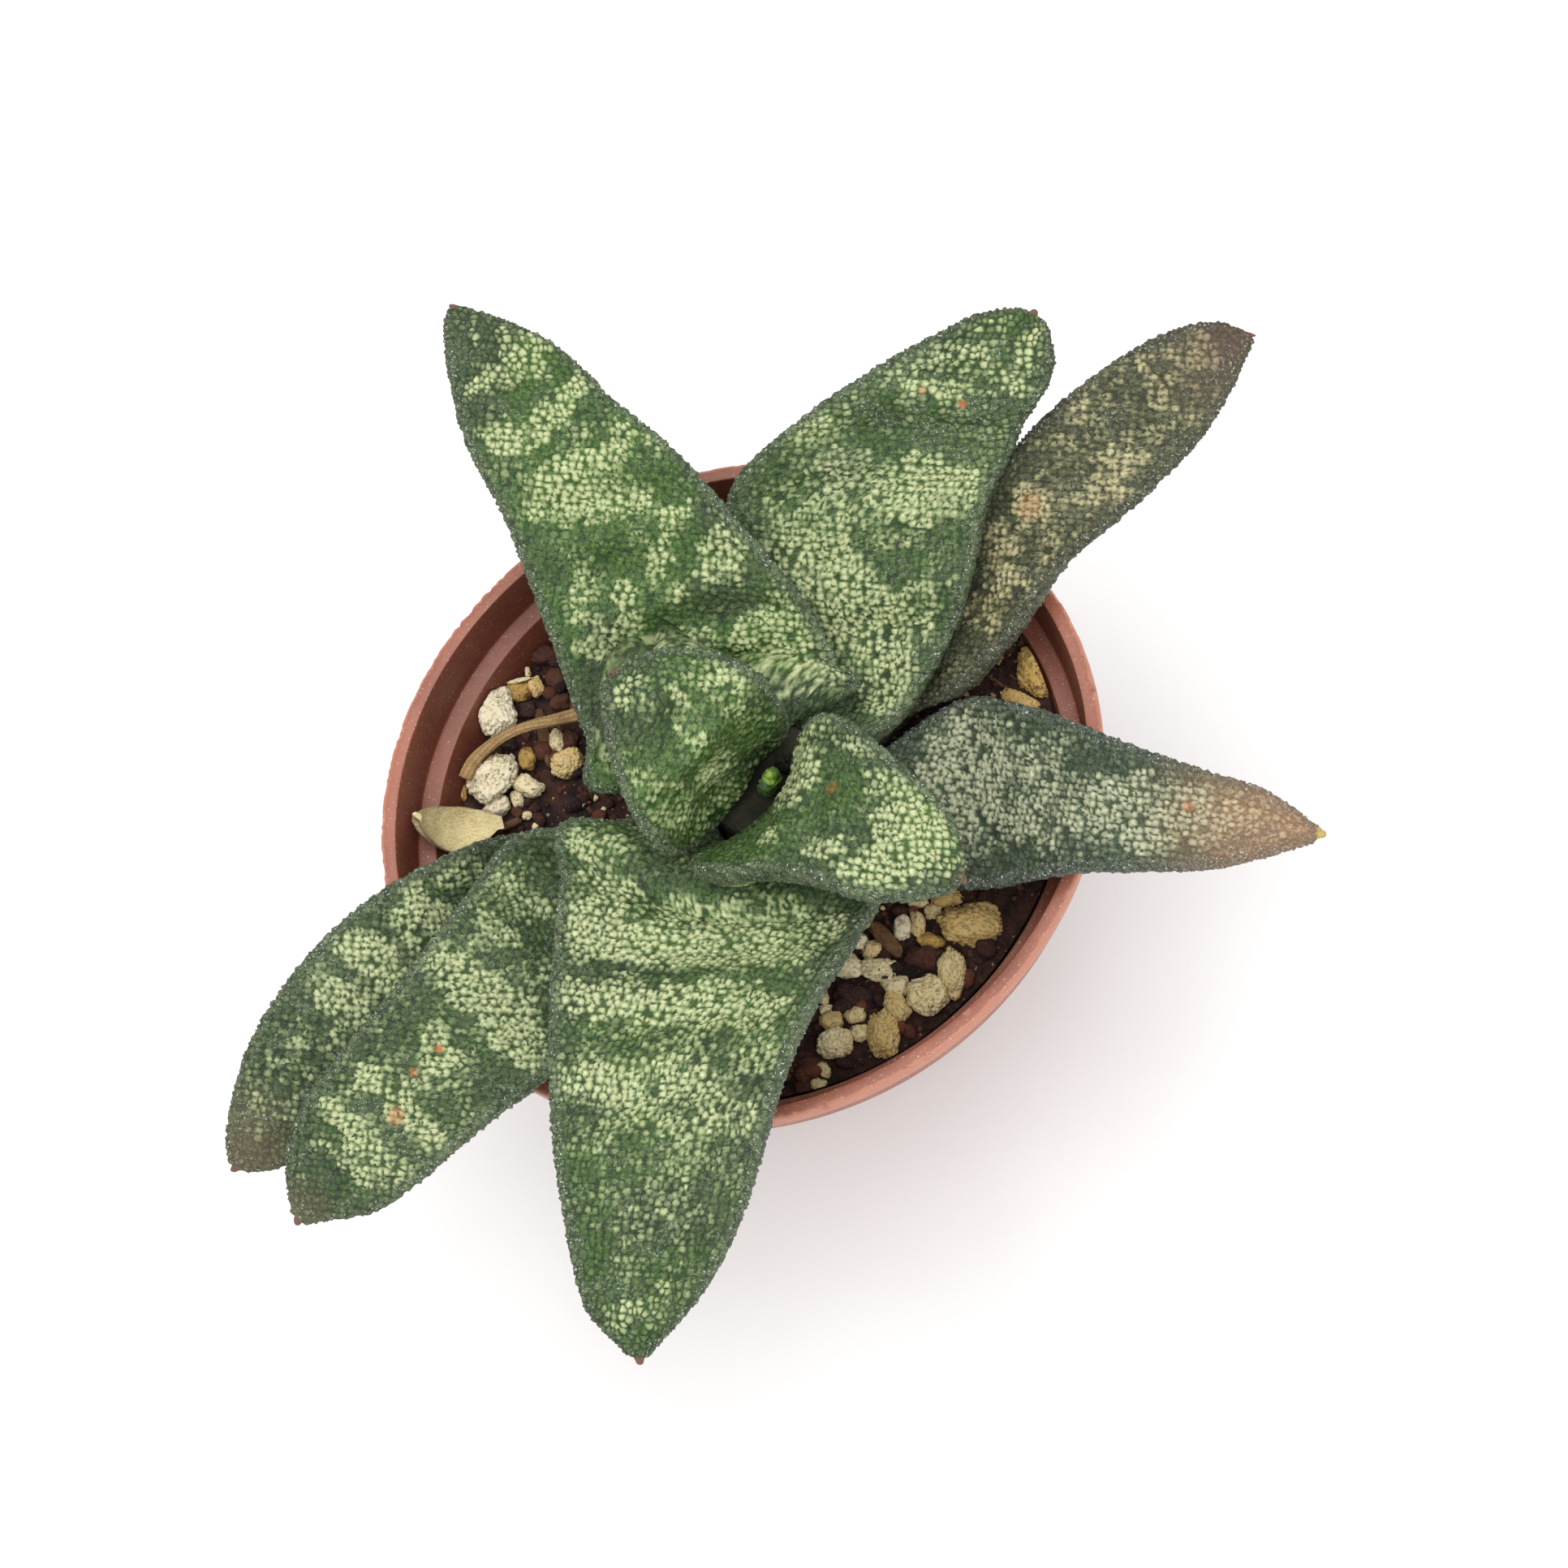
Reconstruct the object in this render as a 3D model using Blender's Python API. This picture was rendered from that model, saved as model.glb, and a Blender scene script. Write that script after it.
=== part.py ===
"""A potted gasteria: ten thick, warty leaves on a short stem, in soil and grit, in a soft plastic pot.

The pot stands on z = 0 with its middle on the origin, +Z is up. Sizes are written in millimetres and turned
into metres where a mesh is placed.
"""

import math
import random

import bmesh
import bpy
import numpy as np
from mathutils import Matrix, Vector, noise

MM = 0.001
GAP = 0.3

# Pot: a turned profile that is squeezed to an oval at the rim and round at the foot.
POT_HEIGHT = 70.0
RIM_RADIUS = 46.0
RIM_SHORT_RADIUS = 41.6
RIM_LONG_AXIS = math.radians(28.7)
RIM_WIDTH = 2.0
COLLAR_HEIGHT = 2.5
COLLAR_OVERHANG = 1.2
SHELF_HEIGHT = 61.4
SHELF_WIDTH = 2.4
SHELF_SET_IN = 1.0
FOOT_RADIUS = 24.0
WALL = 1.1
POT_SEGMENTS = 48
DRAIN_HOLES = 6
DRAIN_RADIUS = 3.0
DRAIN_RING_RADIUS = 17.0
RIB_DIRECTIONS = [7, 67, 127, 187, 247, 307]
RIB_SIZE = (3.0, 0.9, 1.6)

# Soil and grit.
SOIL_HEIGHT = 56.0
SOIL_LUMP = 0.8
MOUND_HEIGHT = 5.0
MOUND_SIDE = math.radians(30)
MOUND_FROM = 10.0
MOUND_TO = 30.0
STONE_SEED = 7
SMALL_STONES = 34

# Stem.
STEM_AXIS = (5.0, -1.5)
STEM_RADIUS = 7.5
STEM_BOTTOM = 40.0
STEM_TOP = 79.5
WITHERED_BULGE = (7.9, -0.1)
WITHERED_BULGE_SIZE = (3.8, 2.6, 9.6)

# Leaves.
LEAF_SIDES = 18
LEAF_RINGS = 22
EDGE = 1.1
FLESH = 4.8
WART_HEIGHT = 0.45
SPINE_LENGTH = 1.3
SPINE_RADIUS = 0.32
FOOT_GAP = 0.6

# Each leaf grows from its foot on the stem (direction in degrees, height, half width, belly) and passes through
# the stations after it: left edge, right edge, dip of the upper face, depth of the belly, and how far the middle
# runs ahead of the edges where the leaf clasps the crown.
LEAVES = {
    "leaf_right": {
        "foot": (-12, 67.0, 4.8, 7.6),
        "stations": [
            ((18.5, 6.0, 66.5), (20.5, -10.5, 67.0), 0.8, 6.6, 0),
            ((27.5, 11.0, 68.5), (28.0, -13.0, 69.5), 1.0, 5.2, 0),
            ((35.5, 8.5, 74.0), (36.0, -13.0, 73.0), 1.2, 5.0, 0),
            ((42.5, 5.0, 77.4), (42.0, -13.0, 76.6), 0.9, 4.6, 0),
            ((50.5, 1.0, 79.5), (50.5, -13.5, 78.5), 0.6, 4.8, 0),
            ((59.0, -2.5, 80.5), (59.5, -13.5, 79.5), 0.3, 4.0, 0),
            ((65.5, -5.0, 80.5), (66.0, -12.0, 79.5), 0.1, 3.2, 0),
            ((69.2, -7.6, 80.0), (69.5, -11.0, 79.5), 0.0, 2.2, 0),
            ((72.2, -9.9, 79.2), (72.2, -9.9, 79.2), 0.0, 0.6, 0),
        ],
        "keel": 0.0,
        "ripple": (0.25, 11.0),
    },
    "leaf_upper_right": {
        "foot": (50, 63.5, 4.2, 5.4),
        "stations": [
            ((14.0, 13.0, 64.5), (20.0, 10.0, 65.5), 0.4, 4.6, 0),
            ((21.0, 19.5, 68.5), (27.3, 11.6, 70.8), 0.6, 4.4, 0),
            ((26.0, 26.5, 72.0), (34.6, 17.6, 75.3), 0.6, 4.6, 0),
            ((30.2, 32.5, 77.0), (41.0, 25.0, 78.8), 0.7, 4.8, 0),
            ((35.5, 39.0, 82.0), (47.5, 29.5, 81.0), 0.6, 5.2, 0),
            ((42.5, 45.0, 84.0), (54.5, 35.5, 82.5), 0.3, 5.0, 0),
            ((49.5, 49.5, 85.0), (59.5, 41.0, 84.0), 0.2, 4.4, 0),
            ((55.0, 52.0, 85.5), (62.5, 46.5, 84.5), 0.1, 3.6, 0),
            ((60.7, 52.6, 85.5), (64.1, 50.1, 85.0), 0.0, 2.2, 0),
            ((64.7, 51.2, 85.3), (64.7, 51.2, 85.3), 0.0, 0.6, 0),
        ],
        "keel": 0.06,
        "ripple": (0.3, 10.0),
    },
    "leaf_far_left": {
        "foot": (203, 63.5, 4.2, 5.4),
        "stations": [
            ((-15.0, -12.5, 63.0), (-17.5, -5.5, 63.5), 0.5, 4.6, 0),
            ((-26.0, -14.5, 65.0), (-28.5, -4.5, 66.5), 0.5, 4.0, 0),
            ((-33.0, -20.0, 71.0), (-35.5, -9.0, 73.5), 0.5, 3.6, 0),
            ((-38.0, -26.0, 74.2), (-41.5, -13.5, 77.2), 0.5, 3.6, 0),
            ((-43.5, -32.0, 74.0), (-48.5, -19.5, 78.0), 0.5, 4.2, 0),
            ((-48.5, -38.0, 73.0), (-55.0, -27.0, 77.0), 0.3, 4.2, 0),
            ((-52.5, -44.0, 71.5), (-59.5, -35.5, 75.5), 0.1, 3.6, 0),
            ((-55.0, -46.8, 71.0), (-61.2, -42.3, 74.0), 0.0, 3.0, 0),
            ((-58.2, -47.4, 70.8), (-61.6, -45.5, 72.0), 0.0, 1.8, 0),
            ((-61.5, -47.6, 70.8), (-61.5, -47.6, 70.8), 0.0, 0.6, 0),
        ],
        "keel": -0.04,
        "ripple": (0.2, 12.0),
    },
    "leaf_top": {
        "foot": (58, 73.0, 5.0, 6.4),
        "stations": [
            ((9.0, 13.6, 73.0), (21.0, 8.8, 72.6), 0.8, 4.8, 0),
            ((4.5, 20.0, 76.5), (27.0, 17.3, 76.5), 1.2, 4.8, 0),
            ((1.0, 27.5, 80.5), (29.5, 22.8, 80.5), 1.2, 5.4, 0),
            ((0.5, 34.0, 83.5), (31.5, 30.3, 83.5), 1.2, 5.8, 0),
            ((9.5, 41.0, 88.0), (35.0, 37.0, 86.0), 1.0, 6.2, 0),
            ((18.0, 45.8, 90.5), (37.0, 40.5, 88.0), 0.6, 5.8, 0),
            ((26.2, 49.8, 92.0), (40.0, 44.8, 90.0), 0.2, 5.0, 0),
            ((32.2, 52.4, 92.0), (40.5, 48.2, 91.0), 0.0, 4.0, 0),
            ((36.1, 53.0, 91.5), (39.8, 50.9, 91.0), 0.0, 2.4, 0),
            ((38.5, 53.3, 91.0), (38.5, 53.3, 91.0), 0.0, 0.6, 0),
        ],
        "keel": -0.14,
        "ripple": (0.45, 9.0),
    },
    "leaf_lower_left": {
        "foot": (209, 72.6, 4.5, 5.4),
        "stations": [
            ((-11.5, -17.0, 72.0), (-17.5, -5.0, 72.0), 0.8, 5.0, 0),
            ((-18.5, -21.0, 75.0), (-26.5, -7.0, 75.0), 1.2, 5.0, 0),
            ((-18.0, -30.0, 78.0), (-31.0, -14.5, 78.5), 1.4, 5.2, 0),
            ((-21.0, -38.5, 80.0), (-36.0, -22.5, 80.5), 1.3, 5.4, 0),
            ((-25.7, -42.3, 81.0), (-40.5, -29.0, 81.0), 1.0, 5.4, 0),
            ((-31.0, -46.5, 80.5), (-46.3, -35.8, 80.5), 0.6, 5.0, 0),
            ((-36.7, -51.0, 79.0), (-50.7, -41.7, 79.0), 0.3, 4.4, 0),
            ((-42.3, -53.8, 77.0), (-52.5, -46.5, 77.5), 0.1, 3.6, 0),
            ((-48.2, -54.4, 75.5), (-52.5, -51.0, 76.0), 0.0, 2.2, 0),
            ((-52.0, -54.9, 74.5), (-52.0, -54.9, 74.5), 0.0, 0.6, 0),
        ],
        "keel": 0.0,
        "ripple": (0.35, 10.0),
    },
    "leaf_upper_left": {
        "foot": (122, 76.0, 5.5, 17.0),
        "stations": [
            ((-13.5, -2.0, 77.5), (14.0, 9.5, 77.5), 2.2, 13.0, 8),
            ((-17.0, 4.0, 80.0), (13.3, 13.0, 80.5), 2.2, 9.0, 4),
            ((-20.0, 12.5, 83.5), (10.8, 18.0, 83.5), 1.8, 7.2, 1),
            ((-23.5, 22.0, 87.0), (6.3, 23.6, 87.0), 1.4, 6.6, 0),
            ((-26.5, 30.0, 90.0), (0.4, 30.3, 90.0), 1.0, 6.4, 0),
            ((-30.4, 37.5, 93.0), (-5.5, 36.7, 92.0), 0.6, 6.0, 0),
            ((-32.2, 44.7, 95.0), (-12.8, 42.8, 93.0), 0.3, 5.4, 0),
            ((-33.0, 50.4, 96.0), (-21.5, 50.6, 94.0), 0.0, 4.0, 0),
            ((-33.0, 53.0, 96.0), (-28.3, 53.4, 95.0), 0.0, 2.4, 0),
            ((-32.8, 55.0, 95.4), (-32.8, 55.0, 95.4), 0.0, 0.6, 0),
        ],
        "keel": 0.16,
        "ripple": (0.6, 9.5),
    },
    "leaf_front": {
        "foot": (268, 76.0, 5.5, 17.0),
        "stations": [
            ((18.5, -15.5, 80.5), (-18.5, -6.5, 80.0), 3.0, 13.0, 7),
            ((17.5, -20.6, 83.5), (-19.0, -15.0, 83.0), 3.4, 9.5, 3),
            ((13.8, -28.6, 87.0), (-18.9, -28.4, 86.5), 2.6, 7.6, 1),
            ((10.0, -37.6, 88.5), (-18.5, -38.0, 88.0), 1.6, 7.2, 0),
            ((7.4, -46.5, 88.5), (-17.8, -46.8, 88.0), 0.6, 7.0, 0),
            ((4.8, -55.0, 87.0), (-16.5, -55.3, 87.0), 0.1, 6.4, 0),
            ((1.2, -62.2, 85.0), (-15.2, -62.2, 85.0), 0.0, 5.4, 0),
            ((-2.3, -66.8, 83.0), (-13.6, -67.1, 83.0), 0.0, 4.2, 0),
            ((-5.9, -70.2, 81.5), (-10.5, -70.2, 81.5), 0.0, 2.4, 0),
            ((-8.1, -72.6, 80.2), (-8.1, -72.6, 80.2), 0.0, 0.6, 0),
        ],
        "keel": 0.1,
        "ripple": (0.5, 10.5),
    },
    "leaf_heart_left": {
        "foot": None,
        "stations": [
            ((0.0, -6.0, 80.0), (7.0, 3.5, 80.0), 1.2, 2.8, 0),
            ((-5.0, -13.0, 87.5), (8.5, 3.5, 87.0), 2.6, 3.4, 0),
            ((-7.5, -11.0, 93.0), (8.8, 3.6, 93.0), 1.6, 4.0, 0),
            ((-9.5, -6.7, 97.0), (7.4, 5.2, 98.0), -0.6, 4.4, 0),
            ((-10.4, -2.2, 100.0), (4.0, 7.0, 100.5), -1.0, 4.2, 0),
            ((-10.8, 1.4, 102.0), (-1.0, 8.2, 101.5), -0.6, 3.4, 0),
            ((-10.8, 3.2, 102.6), (-6.4, 7.0, 102.4), 0.0, 2.0, 0),
            ((-10.0, 5.2, 102.4), (-10.0, 5.2, 102.4), 0.0, 0.6, 0),
        ],
        "keel": 0.0,
        "ripple": (0.5, 8.0),
    },
    "leaf_heart_right": {
        "foot": None,
        "stations": [
            ((11.5, -0.5, 80.0), (4.0, -8.5, 80.0), 0.6, 2.2, 0),
            ((10.8, 1.0, 88.0), (-2.5, -14.5, 87.5), 4.4, 3.4, 0),
            ((12.8, 2.2, 92.0), (0.5, -16.2, 91.0), 3.2, 4.6, 0),
            ((17.2, 0.7, 95.0), (8.9, -17.0, 94.0), 1.2, 4.8, 0),
            ((22.1, -3.8, 97.0), (14.7, -19.0, 96.0), 0.2, 4.4, 0),
            ((25.6, -7.2, 97.5), (20.6, -21.0, 96.5), -0.3, 3.8, 0),
            ((28.6, -10.3, 97.0), (25.7, -20.9, 96.0), -0.2, 3.2, 0),
            ((30.6, -14.5, 95.5), (28.9, -20.0, 94.8), 0.0, 2.2, 0),
            ((31.2, -18.8, 94.0), (31.2, -18.8, 94.0), 0.0, 0.6, 0),
        ],
        "keel": -0.22,
        "ripple": (0.35, 8.0),
    },
    "leaf_bud": {
        "foot": None,
        "stations": [
            ((6.2, -1.6, 80.0), (4.6, -3.6, 80.0), 0.0, 0.9, 0),
            ((7.0, -2.0, 83.5), (5.2, -4.2, 83.5), 0.0, 1.1, 0),
            ((7.2, -2.6, 86.5), (6.0, -4.2, 86.5), 0.0, 0.9, 0),
            ((6.9, -3.6, 88.5), (6.9, -3.6, 88.5), 0.0, 0.4, 0),
        ],
        "keel": 0.0,
        "ripple": (0.0, 8.0),
    },
}

# Litter on the soil.
DRY_LEAF = {
    "foot": None,
    "stations": [
        ((-31.8, -1.8, 60.6), (-31.4, -0.6, 60.6), 0.2, 0.7, 0),
        ((-34.4, -4.4, 61.0), (-34.6, 0.4, 61.2), 1.5, 0.5, 0),
        ((-37.6, -5.6, 63.0), (-37.6, 0.3, 63.4), 2.1, 0.5, 0),
        ((-39.6, -4.6, 65.8), (-40.0, -0.6, 66.2), 1.4, 0.5, 0),
        ((-41.4, -2.0, 68.4), (-41.4, -2.0, 68.4), 0.0, 0.6, 0),
    ],
    "keel": 0.0,
    "ripple": (0.0, 8.0),
}
STALK_POINTS = [
    (-36.8, 4.6, 60.6),
    (-36.0, 6.4, 60.8),
    (-33.2, 9.2, 61.0),
    (-28.8, 11.2, 61.2),
    (-25.2, 11.9, 61.6),
    (-21.5, 12.6, 62.0),
]
STALK_RADIUS = 0.65

# Large stones that show: place, height above the soil line, length, width, turn in degrees.
LARGE_STONES = [
    (35.2, 16.0, 7.6, 6.6, 5.0, 70),
    (33.4, 20.8, 7.8, 3.4, 3.0, 20),
    (31.6, 20.2, 5.6, 5.2, 4.6, 40),
    (27.1, 14.4, 4.6, 4.4, 3.0, 0),
    (32.6, 13.4, 5.0, 5.4, 3.2, 160),
    (30.0, 16.8, 5.2, 4.4, 4.0, 30),
    (28.8, 23.0, 5.0, 5.0, 4.2, 110),
    (28.1, -15.0, 0.8, 8.2, 5.0, 5),
    (19.2, -14.8, 0.4, 3.6, 2.8, 40),
    (22.9, -12.9, 0.6, 4.4, 2.8, 10),
    (31.6, -11.4, 0.4, 3.0, 2.4, 60),
    (21.6, -18.7, 0.6, 4.6, 3.8, 0),
    (25.8, -20.7, 0.7, 5.4, 4.8, 80),
    (22.0, -23.6, 0.8, 6.2, 5.2, 30),
    (18.8, -22.1, 0.6, 4.4, 3.4, 0),
    (16.0, -20.0, 0.6, 4.8, 3.4, 20),
    (12.2, -20.3, 0.4, 4.0, 3.0, 130),
    (12.9, -24.0, 0.7, 5.4, 4.0, 15),
    (16.8, -28.2, 0.8, 6.0, 4.4, 110),
    (11.0, -29.2, 0.7, 5.0, 4.0, 0),
    (6.8, -32.2, 0.4, 3.6, 2.8, 40),
    (-31.8, 13.0, 0.8, 6.2, 5.0, 60),
    (-33.4, 5.4, 0.8, 6.0, 5.4, 40),
    (-29.8, 8.4, 0.5, 4.6, 3.2, 80),
    (-28.8, 3.8, 0.4, 4.2, 3.4, 0),
    (-32.8, 0.6, 0.4, 4.2, 3.4, 20),
    (-25.4, 7.6, 0.6, 5.6, 4.2, 50),
    (-28.4, 16.6, 0.6, 5.0, 3.6, 20),
]
STONE_FINE_LENGTH = 5.2


def clear_scene():
    for obj in list(bpy.data.objects):
        bpy.data.objects.remove(obj, do_unlink=True)


def collection_named(name):
    found = bpy.data.collections.new(name)
    bpy.context.scene.collection.children.link(found)
    return found


def linear(channel):
    """An sRGB channel of 0 to 255 as the linear value that a shader takes."""
    value = channel / 255
    return value / 12.92 if value <= 0.04045 else ((value + 0.055) / 1.055) ** 2.4


def finish(name, rgb, roughness):
    material = bpy.data.materials.new(name)
    material.use_nodes = True
    shader = material.node_tree.nodes["Principled BSDF"]
    shader.inputs["Base Color"].default_value = (*(linear(channel) for channel in rgb), 1)
    shader.inputs["Roughness"].default_value = roughness
    shader.inputs["Metallic"].default_value = 0
    return material


def object_from(bm, name, collection, material, sharp_degrees=40):
    """One smooth-shaded object from a bmesh in millimetres."""
    bmesh.ops.recalc_face_normals(bm, faces=bm.faces)
    bmesh.ops.scale(bm, vec=(MM, MM, MM), verts=bm.verts)
    mesh = bpy.data.meshes.new(name)
    bm.to_mesh(mesh)
    bm.free()
    mesh.materials.append(material)
    mesh.shade_smooth()
    mesh.set_sharp_from_angle(angle=math.radians(sharp_degrees))
    obj = bpy.data.objects.new(name, mesh)
    collection.objects.link(obj)
    return obj


def squeeze(point):
    """Presses a round pot's point in along its short axis, fully at the rim and not at all at the foot."""
    x, y, z = point
    share = (1 - RIM_SHORT_RADIUS / RIM_RADIUS) * min(1.0, max(0.0, z / POT_HEIGHT))
    across = (-math.sin(RIM_LONG_AXIS), math.cos(RIM_LONG_AXIS))
    depth = (x * across[0] + y * across[1]) * share
    return Vector((x - depth * across[0], y - depth * across[1], z))


def shelf_radii():
    """Outer and inner radius of the shelf inside the round pot."""
    outer = RIM_RADIUS - RIM_WIDTH - SHELF_SET_IN
    return outer, outer - SHELF_WIDTH


def wall_radius(z):
    """Inner radius of the round pot below its shelf."""
    rise = (z - WALL) / (SHELF_HEIGHT - WALL)
    floor = FOOT_RADIUS - 0.2
    return floor + (shelf_radii()[1] - floor) * rise


def pot_profile():
    """Half section of the pot, down the outer side and up the inner one."""
    collar = RIM_RADIUS - COLLAR_OVERHANG
    lip = RIM_RADIUS - RIM_WIDTH
    shelf_outer, shelf_inner = shelf_radii()
    return [
        (RIM_RADIUS - 0.4, POT_HEIGHT),
        (RIM_RADIUS, POT_HEIGHT - 0.5),
        (RIM_RADIUS, POT_HEIGHT - COLLAR_HEIGHT),
        (collar, POT_HEIGHT - COLLAR_HEIGHT - 0.3),
        (shelf_outer + WALL, SHELF_HEIGHT - 0.8),
        (shelf_inner + WALL, SHELF_HEIGHT - 1.2),
        (FOOT_RADIUS + 0.9, 1.2),
        (FOOT_RADIUS, 0.0),
        (0.0, 0.0),
        (0.0, WALL),
        (FOOT_RADIUS - 0.2, WALL),
        (shelf_inner, SHELF_HEIGHT - 0.2),
        (shelf_inner + 0.2, SHELF_HEIGHT),
        (shelf_outer, SHELF_HEIGHT + 0.2),
        (lip, POT_HEIGHT - 0.2),
        (lip + 0.2, POT_HEIGHT),
    ]


def turned(profile, segments):
    """A closed body turned from a half section."""
    bm = bmesh.new()
    verts = [bm.verts.new((radius, 0, z)) for radius, z in profile]
    ring = zip(verts, verts[1:] + verts[:1])
    edges = [bm.edges.new(pair) for pair in ring if pair[0].co.x + pair[1].co.x > 0]
    bmesh.ops.spin(
        bm,
        geom=verts + edges,
        axis=(0, 0, 1),
        cent=(0, 0, 0),
        angle=math.tau,
        steps=segments,
        use_merge=True,
        use_duplicate=False,
    )
    bmesh.ops.remove_doubles(bm, verts=bm.verts, dist=0.001)
    return bm


def make_pot(collection, cutters, material):
    bm = turned(pot_profile(), POT_SEGMENTS)
    for vert in bm.verts:
        vert.co = squeeze(vert.co)
    pot = object_from(bm, "pot", collection, material, 30)
    ribs = collection_named("ribs")
    for degrees in RIB_DIRECTIONS:
        make_rib(ribs, "rib_%d" % degrees, degrees, material)
    join_collection(pot, ribs)
    for index in range(DRAIN_HOLES):
        turn = math.tau * (index + 0.5) / DRAIN_HOLES
        add_cutter(
            pot,
            cutters,
            "drain_hole_%d" % (index + 1),
            (DRAIN_RING_RADIUS * math.cos(turn), DRAIN_RING_RADIUS * math.sin(turn), 0),
        )
    return pot


def make_rib(collection, name, degrees, material):
    """A small rib that stands on the shelf against the wall."""
    bm = bmesh.new()
    bmesh.ops.create_cube(bm, size=1)
    bmesh.ops.scale(bm, vec=RIB_SIZE, verts=bm.verts)
    outer, inner = shelf_radii()
    reach = (outer + inner) / 2 + 0.1
    bmesh.ops.translate(bm, vec=(reach, 0, SHELF_HEIGHT + 0.3), verts=bm.verts)
    bmesh.ops.rotate(bm, matrix=Matrix.Rotation(math.radians(degrees), 3, "Z"), verts=bm.verts)
    for vert in bm.verts:
        vert.co = squeeze(vert.co)
    return object_from(bm, name, collection, material)


def add_cutter(pot, cutters, name, place):
    bpy.ops.mesh.primitive_cylinder_add(
        vertices=16,
        radius=DRAIN_RADIUS * MM,
        depth=6 * WALL * MM,
        location=[value * MM for value in place],
    )
    cutter = bpy.context.object
    cutter.name = name
    cutter.hide_render = True
    cutter.display_type = "WIRE"
    for home in list(cutter.users_collection):
        home.objects.unlink(cutter)
    cutters.objects.link(cutter)
    cut = pot.modifiers.new(name, "BOOLEAN")
    cut.operation = "DIFFERENCE"
    cut.object = cutter


def soil_profile():
    """Half section of the soil round the hole that the stem stands in, in rings about 4 mm apart on top."""
    hole = STEM_RADIUS + GAP
    top = [(radius, SOIL_HEIGHT) for radius in np.linspace(hole, wall_radius(SOIL_HEIGHT) - GAP, 9)]
    low = WALL + GAP
    return [
        (0.0, STEM_BOTTOM - GAP),
        (hole, STEM_BOTTOM - GAP),
        *top,
        (wall_radius(low) - GAP, low),
        (0.0, low),
    ][::-1]


def ground(x, y):
    """Height of the soil at a place: small lumps, and banked up towards one side."""
    towards = x * math.cos(MOUND_SIDE) + y * math.sin(MOUND_SIDE)
    rise = min(1.0, max(0.0, (towards - MOUND_FROM) / (MOUND_TO - MOUND_FROM)))
    lump = SOIL_LUMP * noise.noise(Vector((x, y, 0)) * 0.22)
    return SOIL_HEIGHT + MOUND_HEIGHT * rise * rise * (3 - 2 * rise) + lump


def soil_point(co):
    """Moves the hole from the middle to the stem, follows the pot's oval and raises the top."""
    hole = STEM_RADIUS + GAP
    share = 1.0
    if co.z > STEM_BOTTOM - 1:
        wall = wall_radius(min(co.z, SOIL_HEIGHT)) - GAP
        share = min(1.0, max(0.0, (co.xy.length - hole) / (wall - hole)))
    round_stem = co + Vector((*STEM_AXIS, 0))
    moved = round_stem.lerp(squeeze(co), share)
    if co.z > SOIL_HEIGHT - 0.1:
        moved.z = ground(moved.x, moved.y)
    return moved


def stone(collection, name, place, size, turn, material, rng):
    """A rough stone, its length and width in size, with its middle at place."""
    bm = bmesh.new()
    length, width = size
    level = 2 if length > STONE_FINE_LENGTH else 1
    bmesh.ops.create_icosphere(bm, subdivisions=level, radius=0.5)
    for vert in bm.verts:
        vert.co *= 1 + rng.uniform(-0.12, 0.12)
    bmesh.ops.scale(bm, vec=(length, width, (length + width) * 0.42), verts=bm.verts)
    bmesh.ops.rotate(bm, matrix=Matrix.Rotation(math.radians(turn), 3, "Z"), verts=bm.verts)
    bmesh.ops.translate(bm, vec=place, verts=bm.verts)
    return object_from(bm, name, collection, material)


def heading(degrees):
    return Vector((math.cos(math.radians(degrees)), math.sin(math.radians(degrees)), 0))


def small_stone_places(rng):
    """Seeded places on the soil that keep clear of the stem, the wall and the large stones."""
    places = [(row[0], row[1], row[3]) for row in LARGE_STONES]
    found = []
    while len(found) < SMALL_STONES:
        size = rng.uniform(1.8, 3.4)
        radius = math.sqrt(rng.uniform(0.12, 1)) * (wall_radius(SOIL_HEIGHT) - 0.7 * size - GAP)
        turn = rng.uniform(0, math.tau)
        spot = squeeze((radius * math.cos(turn), radius * math.sin(turn), SOIL_HEIGHT))
        from_stem = math.hypot(spot.x - STEM_AXIS[0], spot.y - STEM_AXIS[1])
        near = any(
            math.hypot(spot.x - x, spot.y - y) < 0.5 * (size + other) + 0.3 for x, y, other in places
        )
        if near or from_stem < STEM_RADIUS + size + 4:
            continue
        places.append((spot.x, spot.y, size))
        found.append((spot.x, spot.y, size, size * rng.uniform(0.65, 0.95), rng.uniform(0, 180)))
    return found


def make_soil(collection, soil_finish, stone_finish):
    """The soil with its stones, joined in one body."""
    rng = random.Random(STONE_SEED)
    bm = turned(soil_profile(), 36)
    for vert in bm.verts:
        vert.co = soil_point(vert.co)
    soil = object_from(bm, "soil", collection, soil_finish)
    stones = collection_named("stones")
    for index, (x, y, lift, length, width, turn) in enumerate(LARGE_STONES):
        place = (x, y, SOIL_HEIGHT + lift)
        stone(stones, "stone_%02d" % index, place, (length, width), turn, stone_finish, rng)
    for index, (x, y, length, width, turn) in enumerate(small_stone_places(rng)):
        place = (x, y, ground(x, y) + 0.1 * length)
        stone(stones, "grit_%02d" % index, place, (length, width), turn, stone_finish, rng)
    join_collection(soil, stones)
    return soil


def join_collection(target, extra):
    """Joins a collection's bodies to the target in one solid and removes them."""
    union = target.modifiers.new("union", "BOOLEAN")
    union.operation = "UNION"
    union.operand_type = "COLLECTION"
    union.collection = extra
    union.solver = "MANIFOLD"
    bpy.context.view_layer.update()
    graph = bpy.context.evaluated_depsgraph_get()
    joined = bpy.data.meshes.new_from_object(target.evaluated_get(graph))
    target.modifiers.clear()
    target.data = joined
    for obj in list(extra.objects):
        bpy.data.objects.remove(obj, do_unlink=True)
    bpy.data.collections.remove(extra)


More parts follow.
